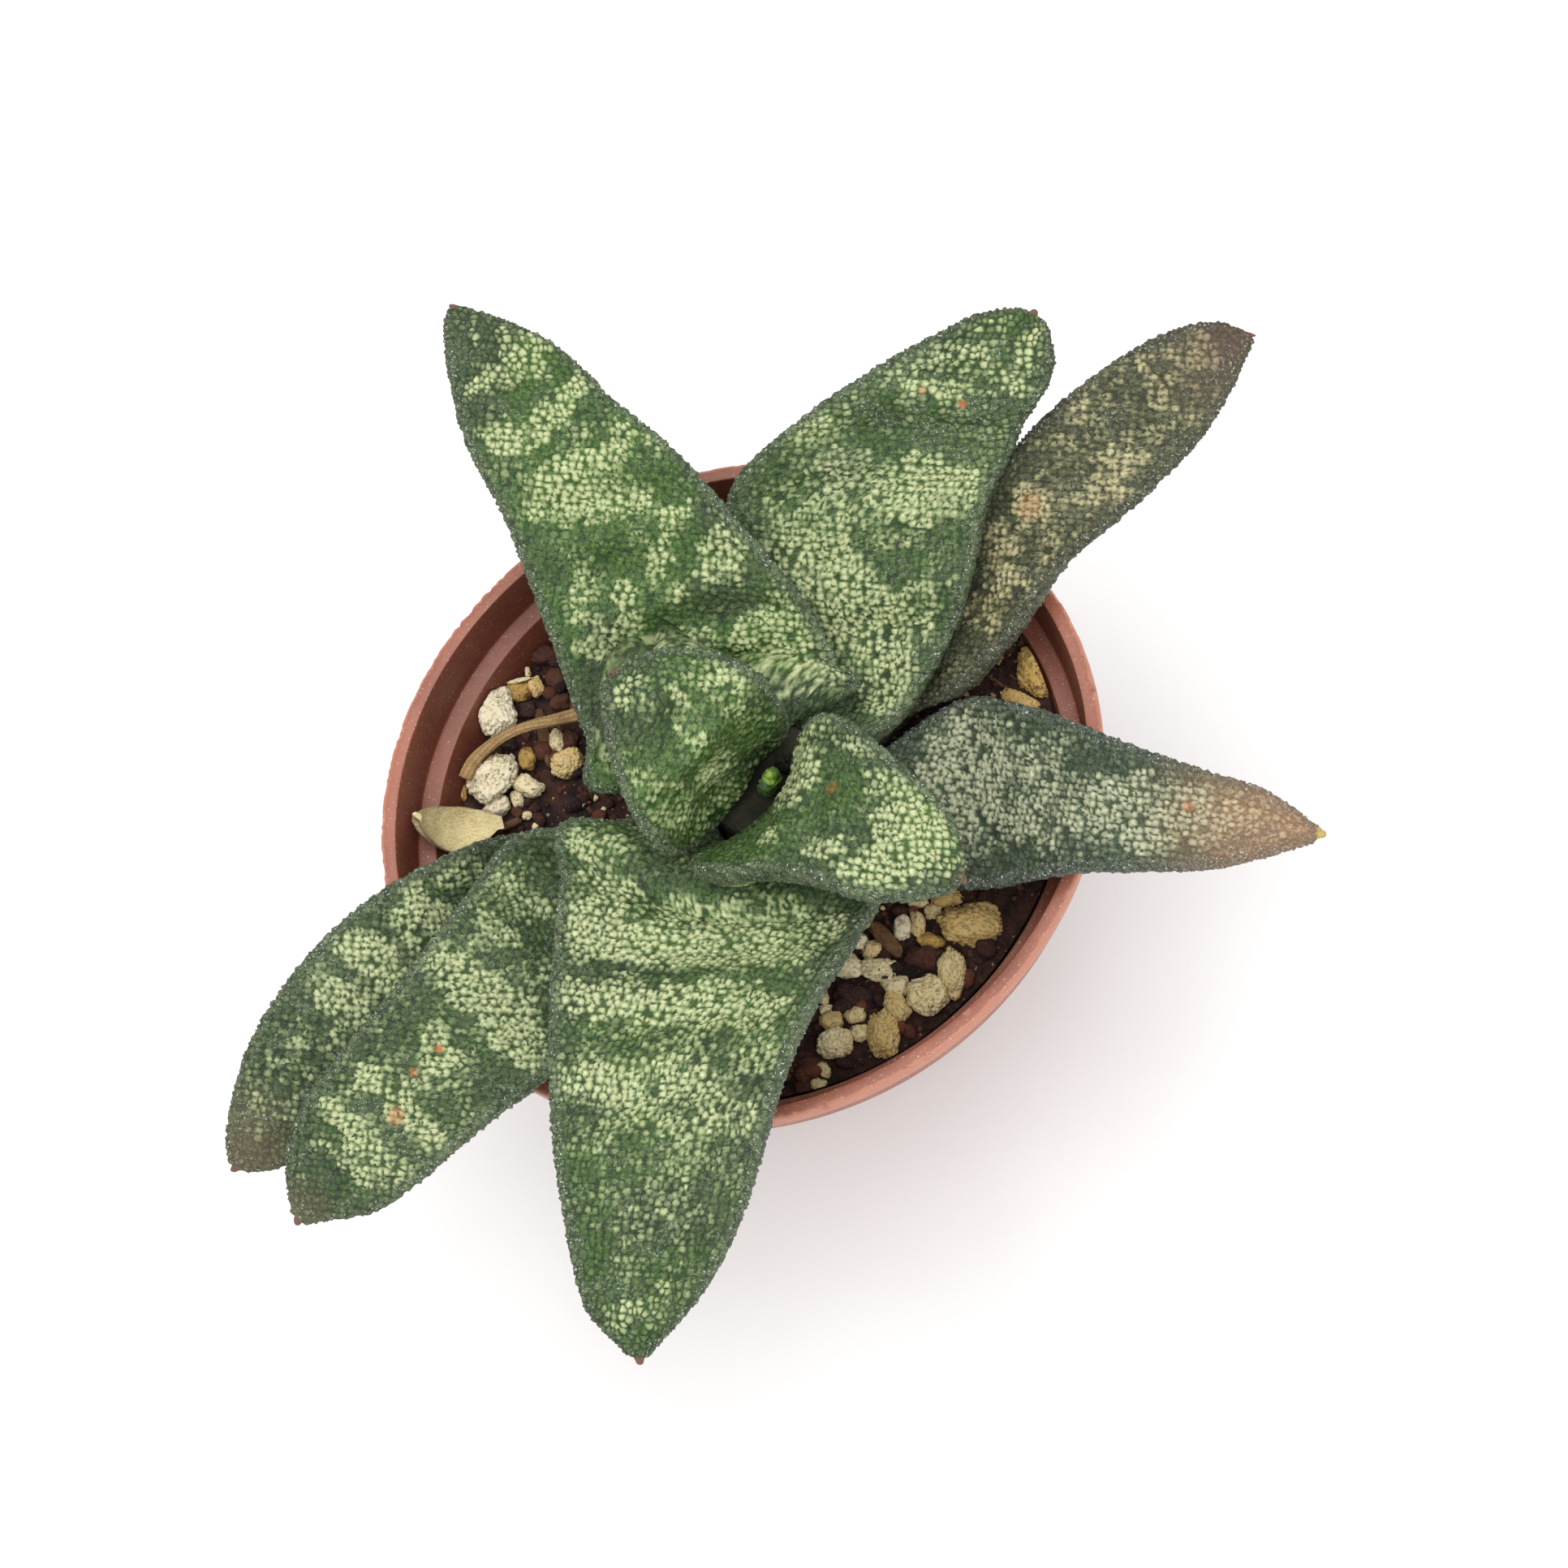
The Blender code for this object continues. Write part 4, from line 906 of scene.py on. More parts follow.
def leafSkin(name, look):
    skin = Finish(name, 0.5)
    wart = skin.attribute("wart")
    pale = skin.attribute("pale")
    bloom = skin.attribute("bloom")
    lush = skin.attribute("lush")
    band = skin.attribute("band")
    fine = skin.noise(0.2, 3.0, 0.7)
    shade = skin.noise(1.3, 4.0, 0.65)
    mottle = skin.noise(3.4, 3.0)
    ground = skin.blend(lush, look["ground"], look["lush"])
    ground = skin.blend(shade.step(0.4, 0.62) * 0.7, ground, rgb(16, 26, 14))
    ground = skin.blend(mottle.step(0.5, 0.68) * 0.2 * (1 - lush), ground, look["bloom"])
    rim = skin.blend(0.25 + 0.6 * lush, look["dimDot"], look["halo"])
    ground = skin.blend(band * 0.5 * mottle.step(0.3, 0.6), ground, rim)
    ground = skin.blend(fine.step(0.4, 0.68) * 0.4, ground, look["dimDot"])
    skinColour = skin.blend(wart.step(0.0, 0.5) * (0.55 + 0.45 * pale), ground, rim)
    crown = wart.step(0.15, 0.95) * pale * (0.66 + 0.6 * fine).clamped()
    skinColour = skin.blend(crown, skinColour, look["paleDot"])
    skinColour = skin.blend(skin.attribute("tint") * 0.7, skinColour, look["tip"])
    film = (bloom * (0.25 + 1.1 * fine)).clamped() * (0.3 + 0.5 * wart.step(0.0, 0.5))
    skinColour = skin.blend(film * (1 - crown * 0.6), skinColour, look["bloom"])
    # painted shade: the skin is darkened where this fine noise is low, standing in for shade in the
    # grooves between warts; the same noise also gives bump
    grooves = skin.noise(0.5, 3.0, 0.7).step(0.42, 0.56)
    skinColour = skin.blend((1 - grooves) * 0.35 * (1 - crown), skinColour, rgb(20, 28, 18))
    specks = skin.noise(0.3, 1.0).step(0.62, 0.7) * (bloom * 1.4).clamped()
    skinColour = skin.blend(specks * 0.8, skinColour, rgb(206, 214, 206))
    skinColour = skin.blend(skin.attribute("spot"), skinColour, rgb(186, 110, 60))
    skinColour = skin.blend(skin.attribute("spine"), skinColour, look["spine"])
    skin.colour(skinColour)
    skin.rough(0.36 + 0.25 * bloom + 0.2 * fine)
    skin.relief(fine + 0.5 * specks + 0.8 * grooves, 0.1, 1.0)
    return skin


def makeLeaves():
    skins = {key: leafSkin("skin_" + key, look) for key, look in skinLooks.items()}
    kinds = {
        "leaf_upper_right": "olive",
        "leaf_right": "blushed",
        "leaf_bud": "bud",
    }
    for order, (name, leaf) in enumerate(leaves.items()):
        makeLeaf(name, leaf, skins[kinds.get(name, "green")], 50 * order + 3)
    print("leaves made")


pot = {
    "height": 70.0,
    "rimRadius": 46.0,
    "rimShortRadius": 41.6,
    "longAxis": math.radians(28.7),
    "rimWidth": 2.0,
    "collarHeight": 2.5,
    "collarOverhang": 1.2,
    "shelfHeight": 61.4,
    "shelfWidth": 2.4,
    "shelfSetIn": 1.0,
    "footRadius": 24.0,
    "wall": 1.1,
    "drainHoles": 6,
    "drainRadius": 3.0,
    "drainRing": 17.0,
    "ribs": [7, 67, 127, 187, 247, 307],
    "ribSize": (3.0, 0.9, 1.6),
    "steps": 480,
}


def squeeze(point, undo=False):
    # presses a round pot's point in along its short axis, fully at the rim and not at the foot
    x, y, z = point
    share = (1 - pot["rimShortRadius"] / pot["rimRadius"]) * min(1.0, max(0.0, z / pot["height"]))
    if undo:
        share = -share / (1 - share)
    across = (-math.sin(pot["longAxis"]), math.cos(pot["longAxis"]))
    depth = (x * across[0] + y * across[1]) * share
    return Vector((x - depth * across[0], y - depth * across[1], z))


def shelfRadii():
    outer = pot["rimRadius"] - pot["rimWidth"] - pot["shelfSetIn"]
    return outer, outer - pot["shelfWidth"]


def wallRadius(z):
    rise = (z - pot["wall"]) / (pot["shelfHeight"] - pot["wall"])
    floor = pot["footRadius"] - 0.2
    return floor + (shelfRadii()[1] - floor) * rise


def potProfile():
    # half section, down the outer side and up the inner one, with rounded lip and shelf
    rim = pot["rimRadius"]
    top = pot["height"]
    collar = rim - pot["collarOverhang"]
    lip = rim - pot["rimWidth"]
    shelfOuter, shelfInner = shelfRadii()
    foot = pot["footRadius"]
    wall = pot["wall"]
    shelf = pot["shelfHeight"]
    return [
        (rim - 0.55, top - 0.02),
        (rim - 0.2, top - 0.1),
        (rim - 0.03, top - 0.3),
        (rim, top - 0.6),
        (rim, top - 1.4),
        (rim - 0.02, top - pot["collarHeight"] + 0.2),
        (rim - 0.2, top - pot["collarHeight"]),
        (collar, top - pot["collarHeight"] - 0.3),
        (shelfOuter + wall, shelf - 0.8),
        (shelfInner + wall, shelf - 1.2),
        (foot + 1.1, 2.0),
        (foot + 0.8, 0.7),
        (foot + 0.1, 0.05),
        (foot - 0.6, 0.0),
        (0.0, 0.0),
        (0.0, wall),
        (foot - 0.2, wall),
        (shelfInner, shelf - 0.4),
        (shelfInner + 0.15, shelf - 0.06),
        (shelfInner + 0.5, shelf + 0.02),
        (shelfOuter - 0.4, shelf + 0.1),
        (shelfOuter - 0.05, shelf + 0.3),
        (shelfOuter + 0.1, shelf + 0.9),
        (lip, top - 0.35),
        (lip + 0.12, top - 0.1),
        (lip + 0.35, top - 0.02),
    ]


def turned(profile, steps):
    bm = bmesh.new()
    verts = [bm.verts.new((radius, 0, z)) for radius, z in profile]
    ring = zip(verts, verts[1:] + verts[:1])
    edges = [bm.edges.new(pair) for pair in ring if pair[0].co.x + pair[1].co.x > 0]
    bmesh.ops.spin(
        bm,
        geom=verts + edges,
        axis=(0, 0, 1),
        cent=(0, 0, 0),
        angle=math.tau,
        steps=steps,
        use_merge=True,
        use_duplicate=False,
    )
    bmesh.ops.remove_doubles(bm, verts=bm.verts, dist=0.001)
    bmesh.ops.recalc_face_normals(bm, faces=bm.faces)
    return bm


def meshFrom(bm, name):
    # a mesh in metres from a bmesh in millimetres
    bmesh.ops.scale(bm, vec=(mm, mm, mm), verts=bm.verts)
    mesh = bpy.data.meshes.new(name)
    bm.to_mesh(mesh)
    bm.free()
    return mesh


def potPlastic():
    plastic = Finish("pot_plastic", 0.4)
    inside = plastic.attribute("inside")
    flash = plastic.attribute("flash")
    patches = plastic.noise(9.0, 3.0)
    dust = plastic.noise(0.9, 4.0, 0.65)
    specks = plastic.noise(0.28, 1.0).step(0.68, 0.73)
    streaks = plastic.noise(1.2, 3.0, 0.6, (1.0, 1.0, 0.12))
    scratches = plastic.noise(0.5, 2.0, 0.5, (0.15, 0.15, 3.0))
    colour = plastic.blend(patches.step(0.3, 0.75), rgb(138, 80, 60), rgb(158, 94, 72))
    colour = plastic.blend(dust.step(0.55, 0.8) * 0.5, colour, rgb(186, 142, 120))
    colour = plastic.blend(scratches.step(0.66, 0.76) * 0.3, colour, rgb(204, 146, 118))
    colour = plastic.blend(flash * 0.6, colour, rgb(204, 138, 112))
    # painted shade: the inside of the pot, its lip wall and the wall below the shelf, is darkened, more
    # so towards the soil
    deepShade = plastic.blend((inside * 2 - 1).clamped(), rgb(106, 54, 42), rgb(40, 22, 30))
    colour = plastic.blend((inside * 2).clamped() * (0.7 + 0.5 * streaks).clamped(), colour, deepShade)
    colour = plastic.blend(specks * 0.6 * (1 - 0.6 * inside), colour, rgb(226, 206, 190))
    plastic.colour(colour)
    plastic.rough(0.36 + 0.25 * dust)
    plastic.relief(dust + 0.4 * scratches + 0.3 * specks, 0.08, 0.6)
    return plastic


def insideShadeAt(point):
    # how much painted shade a point of the pot gets: 0 outside, about a half on the lip, 1 at the soil
    x, y, z = squeeze(point, undo=True)
    radius = math.hypot(x, y)
    lip = pot["rimRadius"] - pot["rimWidth"]
    if z > pot["height"] - 0.3 or radius > lip + 0.3 or z < pot["wall"] / 2:
        return 0.0
    if z > pot["shelfHeight"] + 0.7:
        return 0.3 + 0.2 * (pot["height"] - z) / (pot["height"] - pot["shelfHeight"])
    if radius > shelfRadii()[1] + 0.1 and z > pot["shelfHeight"] - 0.3:
        return 0.1
    if radius > wallRadius(z) + pot["wall"] / 2:
        return 0.0
    return min(1.0, 0.3 + (pot["shelfHeight"] - z) / 8)


def makePot():
    bm = turned(potProfile(), pot["steps"])
    for vert in bm.verts:
        radius, z = vert.co.xy.length, vert.co.z
        if radius > pot["rimRadius"] - 0.8 and z > pot["height"] - 1:
            turn = math.atan2(vert.co.y, vert.co.x)
            way = Vector((math.cos(turn), math.sin(turn), 0))
            nibs = noise.noise(way * 14) + 0.9 * noise.noise(way * 75)
            vert.co.xy *= 1 - min(0.5, max(0.0, nibs) * 0.5) / radius
        vert.co = squeeze(vert.co)
    for degrees in pot["ribs"]:
        addRib(bm, degrees)
    mesh = meshFrom(bm, "pot_body")
    plastic = potPlastic()
    piece = pieceFrom(mesh, "moulded_pot", plastic, "red_brown_plastic", "pot")
    for index in range(pot["drainHoles"]):
        turn = math.tau * (index + 0.5) / pot["drainHoles"]
        cutHole(piece, (pot["drainRing"] * math.cos(turn), pot["drainRing"] * math.sin(turn)))
    mesh = piece.data
    points = readPoints(mesh) / mm
    rim = np.array([math.hypot(*squeeze(point, undo=True)[:2]) for point in points])
    addAttribute(mesh, "inside", np.array([insideShadeAt(point) for point in points]))
    addAttribute(mesh, "flash", (rim > pot["rimRadius"] - 0.45).astype(float))
    mesh.set_sharp_from_angle(angle=math.radians(38))
    print("pot made")


def addRib(bm, degrees):
    made = bmesh.ops.create_cube(bm, size=1)["verts"]
    bmesh.ops.scale(bm, vec=pot["ribSize"], verts=made)
    bmesh.ops.translate(bm, vec=(sum(shelfRadii()) / 2 + 0.1, 0, pot["shelfHeight"] + 0.3), verts=made)
    bmesh.ops.rotate(bm, matrix=Matrix.Rotation(math.radians(degrees), 3, "Z"), verts=made)
    for vert in made:
        vert.co = squeeze(vert.co)
    edges = list({edge for vert in made for edge in vert.link_edges})
    bmesh.ops.bevel(
        bm, geom=edges, offset=0.25, segments=2, profile=0.5, affect="EDGES", material=-1
    )


def cutHole(piece, place):
    bm = bmesh.new()
    bmesh.ops.create_cone(
        bm,
        cap_ends=True,
        segments=32,
        radius1=pot["drainRadius"],
        radius2=pot["drainRadius"],
        depth=6 * pot["wall"],
    )
    bmesh.ops.translate(bm, vec=(*place, 0), verts=bm.verts)
    cutter = bpy.data.objects.new("cutter", meshFrom(bm, "cutter"))
    bpy.context.scene.collection.objects.link(cutter)
    cut = piece.modifiers.new("cut", "BOOLEAN")
    cut.operation = "DIFFERENCE"
    cut.object = cutter
    applyModifiers(piece)
    bpy.data.objects.remove(cutter, do_unlink=True)


def applyModifiers(piece):
    graph = bpy.context.evaluated_depsgraph_get()
    applied = bpy.data.meshes.new_from_object(piece.evaluated_get(graph))
    piece.modifiers.clear()
    piece.data = applied


soil = {
    "height": 56.0,
    "lump": 0.8,
    "moundHeight": 5.0,
    "moundSide": math.radians(30),
    "moundFrom": 10.0,
    "moundTo": 30.0,
    "rings": 70,
    "steps": 200,
    "crumbs": 950,
    "crumbSize": (0.8, 2.7),  # smallest, and how much larger the largest is
    "seed": 11,
}


def ground(x, y):
    towards = x * math.cos(soil["moundSide"]) + y * math.sin(soil["moundSide"])
    rise = min(1.0, max(0.0, (towards - soil["moundFrom"]) / (soil["moundTo"] - soil["moundFrom"])))
    lump = soil["lump"] * noise.noise(Vector((x, y, 0)) * 0.22)
    return soil["height"] + soil["moundHeight"] * rise * rise * (3 - 2 * rise) + lump


def crumble(x, y):
    # small clods on top of the ground
    coarse = noise.noise(Vector((x, y, 3.0)) * 0.55)
    fine = noise.noise(Vector((x, y, 9.0)) * 1.6)
    return 0.55 * coarse + 0.28 * fine


def soilProfile():
    hole = stem["radius"] + gap
    edge = wallRadius(soil["height"]) - gap
    top = [(radius, soil["height"]) for radius in np.linspace(hole, edge, soil["rings"])]
    low = pot["wall"] + gap
    return [
        (0.0, stem["bottom"] - gap),
        (hole, stem["bottom"] - gap),
        *top,
        (wallRadius(low) - gap, low),
        (0.0, low),
    ][::-1]


def soilPoint(co):
    hole = stem["radius"] + gap
    share = 1.0
    if co.z > stem["bottom"] - 1:
        wall = wallRadius(min(co.z, soil["height"])) - gap
        share = min(1.0, max(0.0, (co.xy.length - hole) / (wall - hole)))
    moved = (co + Vector((*stem["axis"], 0))).lerp(squeeze(co), share)
    if co.z > soil["height"] - 0.1:
        crumbs = crumble(moved.x, moved.y) * min(1.0, 6 * share * (1 - share) + 0.15)
        moved.z = ground(moved.x, moved.y) + crumbs
        wider = wallRadius(min(moved.z, pot["shelfHeight"] - 0.5)) / wallRadius(soil["height"])
        moved.xy *= 1 + (wider - 1) * share**4
    return moved


def soilFinish():
    earth = Finish("crumbly_soil", 0.95)
    clods = earth.noise(2.2, 4.0, 0.65)
    grain = earth.noise(0.5, 3.0, 0.7)
    colour = earth.blend(clods.step(0.35, 0.68), rgb(26, 16, 16), rgb(78, 46, 36))
    colour = earth.blend(grain.step(0.6, 0.75) * 0.6, colour, rgb(120, 80, 58))
    colour = earth.blend(earth.noise(0.6, 1.0).step(0.68, 0.74) * 0.6, colour, rgb(196, 164, 120))
    earth.colour(colour)
    earth.relief(grain + clods, 0.5, 1.0)
    return earth


def makeSoil():
    bm = turned(soilProfile(), soil["steps"])
    for vert in bm.verts:
        vert.co = soilPoint(vert.co)
    bmesh.ops.recalc_face_normals(bm, faces=bm.faces)
    mesh = meshFrom(bm, "soil_body")
    print("soil made")
    return pieceFrom(mesh, "crumbly_soil", soilFinish(), "soil_and_grit", "soil")


# Large stones: x, y, height over the soil line, length, width, turn, tone (0 white, 0.5 cream, 1 ochre,
# 1.5 bark brown, over 1.8 red-brown to black).
largeStones = [
    (28.0, -14.8, 1.6, 9.2, 5.5, 175, 0.85),
    (22.4, -23.6, 1.6, 5.3, 5.5, 100, 0.5),
    (25.4, -20.8, 1.2, 6.4, 3.5, 95, 0.6),
    (16.1, -20.2, 1.2, 4.8, 3.1, 175, 0.35),
    (18.4, -22.2, 1.0, 3.9, 2.9, 175, 0.4),
    (12.2, -19.5, 1.0, 4.5, 3.3, 160, 0.3),
    (15.2, -17.6, 0.8, 2.9, 2.5, 0, 0.6),
    (13.6, -16.4, 0.8, 2.5, 2.1, 0, 0.15),
    (19.0, -14.7, 0.8, 2.5, 3.1, 0, 0.15),
    (20.9, -14.3, 0.8, 3.7, 2.0, 95, 0.65),
    (24.8, -11.1, 0.8, 4.7, 2.8, 0, 0.9),
    (22.8, -12.8, 0.6, 2.5, 2.1, 0, 0.6),
    (21.0, -11.5, 0.6, 2.7, 1.4, 0, 0.5),
    (32.7, -11.0, 0.4, 1.6, 2.3, 0, 0.6),
    (32.3, -14.6, 0.4, 1.5, 1.3, 0, 0.2),
    (32.3, -16.3, 0.4, 2.2, 1.4, 170, 0.2),
    (16.8, -16.1, 1.0, 6.4, 2.1, 133, 1.5),
    (21.7, -18.7, 0.6, 4.7, 3.1, 170, 1.9),
    (22.5, -16.5, 0.5, 3.5, 2.1, 170, 1.1),
    (28.9, -18.4, 0.2, 3.5, 2.9, 0, 2.4),
    (17.0, -28.5, 1.2, 6.6, 3.9, 100, 0.8),
    (18.5, -24.9, 1.0, 4.5, 3.1, 130, 0.7),
    (10.8, -29.5, 1.2, 4.8, 4.1, 0, 0.4),
    (10.3, -26.4, 0.9, 3.3, 2.7, 0, 0.8),
    (13.3, -25.9, 0.9, 2.8, 2.3, 20, 0.55),
    (13.8, -28.1, 0.6, 2.7, 2.3, 0, 0.5),
    (12.9, -23.3, 0.5, 4.9, 3.1, 170, 2.2),
    (9.6, -25.1, 0.6, 2.1, 1.6, 0, 0.3),
    (8.9, -23.4, 0.7, 2.3, 1.6, 130, 0.5),
    (8.7, -34.5, 0.4, 2.1, 1.6, 0, 0.5),
    (7.6, -32.0, 0.3, 3.1, 2.1, 0, 1.9),
    (6.9, -34.9, 0.3, 2.5, 1.8, 0, 1.9),
    (11.9, -31.8, 0.2, 2.7, 1.6, 160, 2.3),
    (26.0, -25.3, 0.2, 3.1, 2.1, 0, 2.4),
    (9.4, -32.7, 0.5, 2.3, 1.6, 120, 0.5),
    (-33.8, 14.2, 2.2, 7.2, 5.3, 105, 0.1),
    (-33.7, 5.3, 2.2, 7.2, 5.3, 45, 0.2),
    (-29.6, 8.1, 1.0, 3.5, 2.3, 100, 1.2),
    (-29.2, 4.4, 1.4, 4.5, 2.8, 155, 0.25),
    (-33.3, 1.7, 1.2, 4.1, 2.9, 20, 0.15),
    (-30.8, 2.9, 0.6, 2.5, 1.8, 120, 0.35),
    (-38.1, 4.0, 0.6, 2.7, 1.6, 100, 1.2),
    (-31.0, 17.2, 1.0, 3.5, 2.9, 0, 1.2),
    (-28.8, 17.7, 1.4, 2.9, 2.1, 110, 0.8),
    (-25.8, 10.5, 1.0, 3.3, 2.1, 110, 0.4),
    (-24.2, 7.4, 1.4, 4.7, 3.7, 40, 0.7),
    (-27.5, 10.9, 0.8, 8.8, 1.7, 105, 1.6),
    (-28.0, 22.0, 0.8, 3.7, 2.5, 0, 1.9),
    (-26.3, 19.0, 0.8, 2.7, 2.7, 0, 1.8),
    (-25.6, 15.7, 0.8, 2.7, 2.5, 0, 1.8),
    (-24.2, 10.6, 0.6, 2.7, 2.5, 0, 1.9),
    (-29.9, 14.8, 0.4, 2.7, 2.7, 0, 2.2),
    (-30.7, 18.2, 2.6, 3.4, 0.6, 12, 0.35),
    (-29.7, 19.4, 2.2, 1.6, 0.8, 100, 0.5),
    (-31.3, -0.4, 1.0, 2.9, 1.2, 25, 1.6),
    (-29.3, 0.7, 0.8, 1.6, 1.2, 20, 0.4),
    (-38.5, 1.4, 0.4, 1.2, 1.0, 0, 1),
    (-30.8, 1.3, 0.4, 2.1, 1.6, 150, 1.8),
    (36.1, 16.6, 5.5, 7.2, 4.9, 110, 0.95),
    (34.8, 22.5, 5.8, 2.5, 1.8, 110, 0.95),
    (33.9, 13.2, 5.2, 5.8, 2.1, 155, 0.85),
    (30.3, 14.2, 4.4, 1.8, 1.4, 0, 1.1),
    (29.4, 13.8, 4.2, 1.6, 1.2, 0, 1.2),
    (31.3, 18.4, 4.6, 1.8, 1.5, 0, 1.1),
    (33.0, 16.0, 4.6, 3.7, 1.5, 140, 1.5),
    (31.2, 15.5, 5.2, 4.1, 0.5, 145, 1.6),
    (28.5, 15.6, 4.8, 1.0, 1.0, 0, 0.3),
    (26.6, 14.7, 4.4, 3.1, 1.4, 160, 0.9),
    (32.1, 20.1, 4.4, 2.7, 1.8, 0, 1.9),
    (29.6, 17.6, 4.2, 2.5, 1.8, 150, 1.9),
    (27.5, 15.4, 4.0, 2.3, 1.6, 0, 2.1),
    (34.4, 21.0, 4.6, 1.0, 2.1, 120, 1.8),
]
grit = {
    "seed": 5,
    "count": 300,
    "smallest": 0.8,
    "largest": 2.8,
    "fineFrom": 4.6,
    "tones": (0.1, 0.3, 0.4, 0.5, 0.6, 0.8, 1.0, 1.3, 1.7),
}


def keepInPot(vert):
    # stones at the wall are pressed flat against it
    x, y, z = squeeze(vert.co, undo=True)
    inner = wallRadius(min(z, pot["shelfHeight"] - 0.5)) - gap
    radius = math.hypot(x, y)
    if radius > inner:
        vert.co = squeeze((x * inner / radius, y * inner / radius, z))


def addStone(heap, looks, place, size, turn, tone, level, rng):
    # each stone is shaped in a bmesh of its own and then joins the heap, which keeps this quick
    bm = bmesh.new()
    made = bmesh.ops.create_icosphere(bm, subdivisions=level, radius=0.5)["verts"]
    seed = Vector((rng.uniform(0, 90), rng.uniform(0, 90), rng.uniform(0, 90)))
    length, width = size
    knobs = min(5.5, 1.3 + 0.55 * length) if level > 2 else 1.4
    for vert in made:
        way = vert.co.normalized()
        billow = abs(noise.noise(way * knobs + seed))
        # painted shade: the valleys where the knobs meet are marked, to be darkened in the stone's
        # colour
        crease = 1 - min(1.0, billow / 0.1)
        lumps = 0.3 * noise.noise(way * 1.3 + seed) + 0.5 * min(0.3, billow) - 0.08
        pits = min(0.0, noise.noise(way * 2.4 * knobs + seed) + 0.2) * 0.14 if level > 3 else 0.0
        flat = max(abs(way.x), abs(way.y), abs(way.z))
        vert.co = way * 0.5 * (1 + lumps + pits) * (1.06 - 0.16 * flat)
        looks.append((tone, crease if level > 3 else 0.0))
    bmesh.ops.scale(bm, vec=(length, width, (length + width) * 0.42), verts=made)
    if length > 2.4 * width:
        bmesh.ops.scale(bm, vec=(1, 1, 2.2 * width / (length + width)), verts=made)
    bmesh.ops.rotate(bm, matrix=Matrix.Rotation(rng.uniform(-0.4, 0.4), 3, "X"), verts=made)
    bmesh.ops.rotate(bm, matrix=Matrix.Rotation(math.radians(turn), 3, "Z"), verts=made)
    bmesh.ops.translate(bm, vec=place, verts=made)
    for vert in made:
        keepInPot(vert)
    bmesh.ops.recalc_face_normals(bm, faces=bm.faces)
    mesh = bpy.data.meshes.new("stone")
    bm.to_mesh(mesh)
    bm.free()
    heap.from_mesh(mesh)
    bpy.data.meshes.remove(mesh)


def heapPiece(bm, looks, name, finish):
    mesh = meshFrom(bm, name)
    addAttribute(mesh, "tone", np.array([look[0] for look in looks]))
    addAttribute(mesh, "crease", np.array([look[1] for look in looks]))
    pieceFrom(mesh, name, finish, "soil_and_grit")


def stoneFinish():
    pumice = Finish("pumice", 0.85)
    tone = pumice.attribute("tone")
    crease = pumice.attribute("crease")
    patches = pumice.noise(1.8, 4.0, 0.6)
    fine = pumice.noise(0.3, 4.0, 0.7)
    pits = pumice.noise(0.7, 1.5).step(0.27, 0.33)
    ramp = pumice.node(
        "ShaderNodeValToRGB",
        {
            "stops": [
                (0.0, rgb(244, 234, 208)),
                (0.2, rgb(242, 222, 166)),
                (0.4, rgb(214, 172, 88)),
                (0.6, rgb(112, 82, 52)),
                (0.76, rgb(80, 42, 34)),
                (0.92, rgb(40, 24, 30)),
            ]
        },
        {0: tone * 0.4 + 0.24 * (patches - 0.5)},
    )
    colour = ramp.outputs["Color"]
    bright = (1.6 - tone).clamped()
    colour = pumice.blend(fine.step(0.5, 0.7) * 0.4 * bright, colour, rgb(238, 228, 196))
    colour = pumice.blend(fine.step(0.42, 0.3) * 0.4, colour, rgb(128, 96, 58))
    colour = pumice.blend((1 - pits) * 0.75, colour, rgb(84, 58, 40))
    # painted shade in the creases between the knobs
    colour = pumice.blend(crease * 0.7, colour, rgb(92, 64, 42))
    pumice.colour(colour)
    pumice.rough(0.75 + 0.2 * fine)
    pumice.relief(fine * 0.6 + pits * 0.5 + patches, 0.25, 1.0)
    return pumice


def spotInPot(rng, size, inner, margin):
    # a seeded place on the soil for a piece of that size
    radius = math.sqrt(rng.uniform(inner, 1)) * (wallRadius(soil["height"]) - margin * size - gap)
    turn = rng.uniform(0, math.tau)
    return squeeze((radius * math.cos(turn), radius * math.sin(turn), soil["height"]))


def nearStem(spot, size):
    return math.hypot(spot.x - stem["axis"][0], spot.y - stem["axis"][1]) < stem["radius"] + size


def gritPlaces(rng, count, smallest, largest, kept):
    found = []
    tries = 0
    while len(found) < count and tries < 60 * count:
        tries += 1
        size = smallest + (largest - smallest) * rng.random() ** 2.2
        spot = spotInPot(rng, size, 0.06, 0.7)
        if nearStem(spot, size):
            continue
        if any(math.hypot(spot.x - x, spot.y - y) < 0.45 * (size + other) for x, y, other in kept):
            continue
        kept.append((spot.x, spot.y, size))
        found.append((spot.x, spot.y, size))
    return found


def makeStones():
    rng = random.Random(grit["seed"])
    bm = bmesh.new()
    looks = []
    for x, y, lift, length, width, turn, tone in largeStones:
        place = (x, y, soil["height"] + lift)
        level = 5 if length > grit["fineFrom"] else 4
        addStone(bm, looks, place, (length, width), turn, tone, level, rng)
    kept = [(row[0], row[1], row[3]) for row in largeStones]
    for x, y, size in gritPlaces(rng, grit["count"], grit["smallest"], grit["largest"], kept):
        tone = rng.choice(grit["tones"])
        place = (x, y, ground(x, y) + 0.25 * size)
        shape = (size, size * rng.uniform(0.6, 0.95))
        addStone(bm, looks, place, shape, rng.uniform(0, 180), tone, 2, rng)
    heapPiece(bm, looks, "pumice_stones", stoneFinish())
    print("stones made")


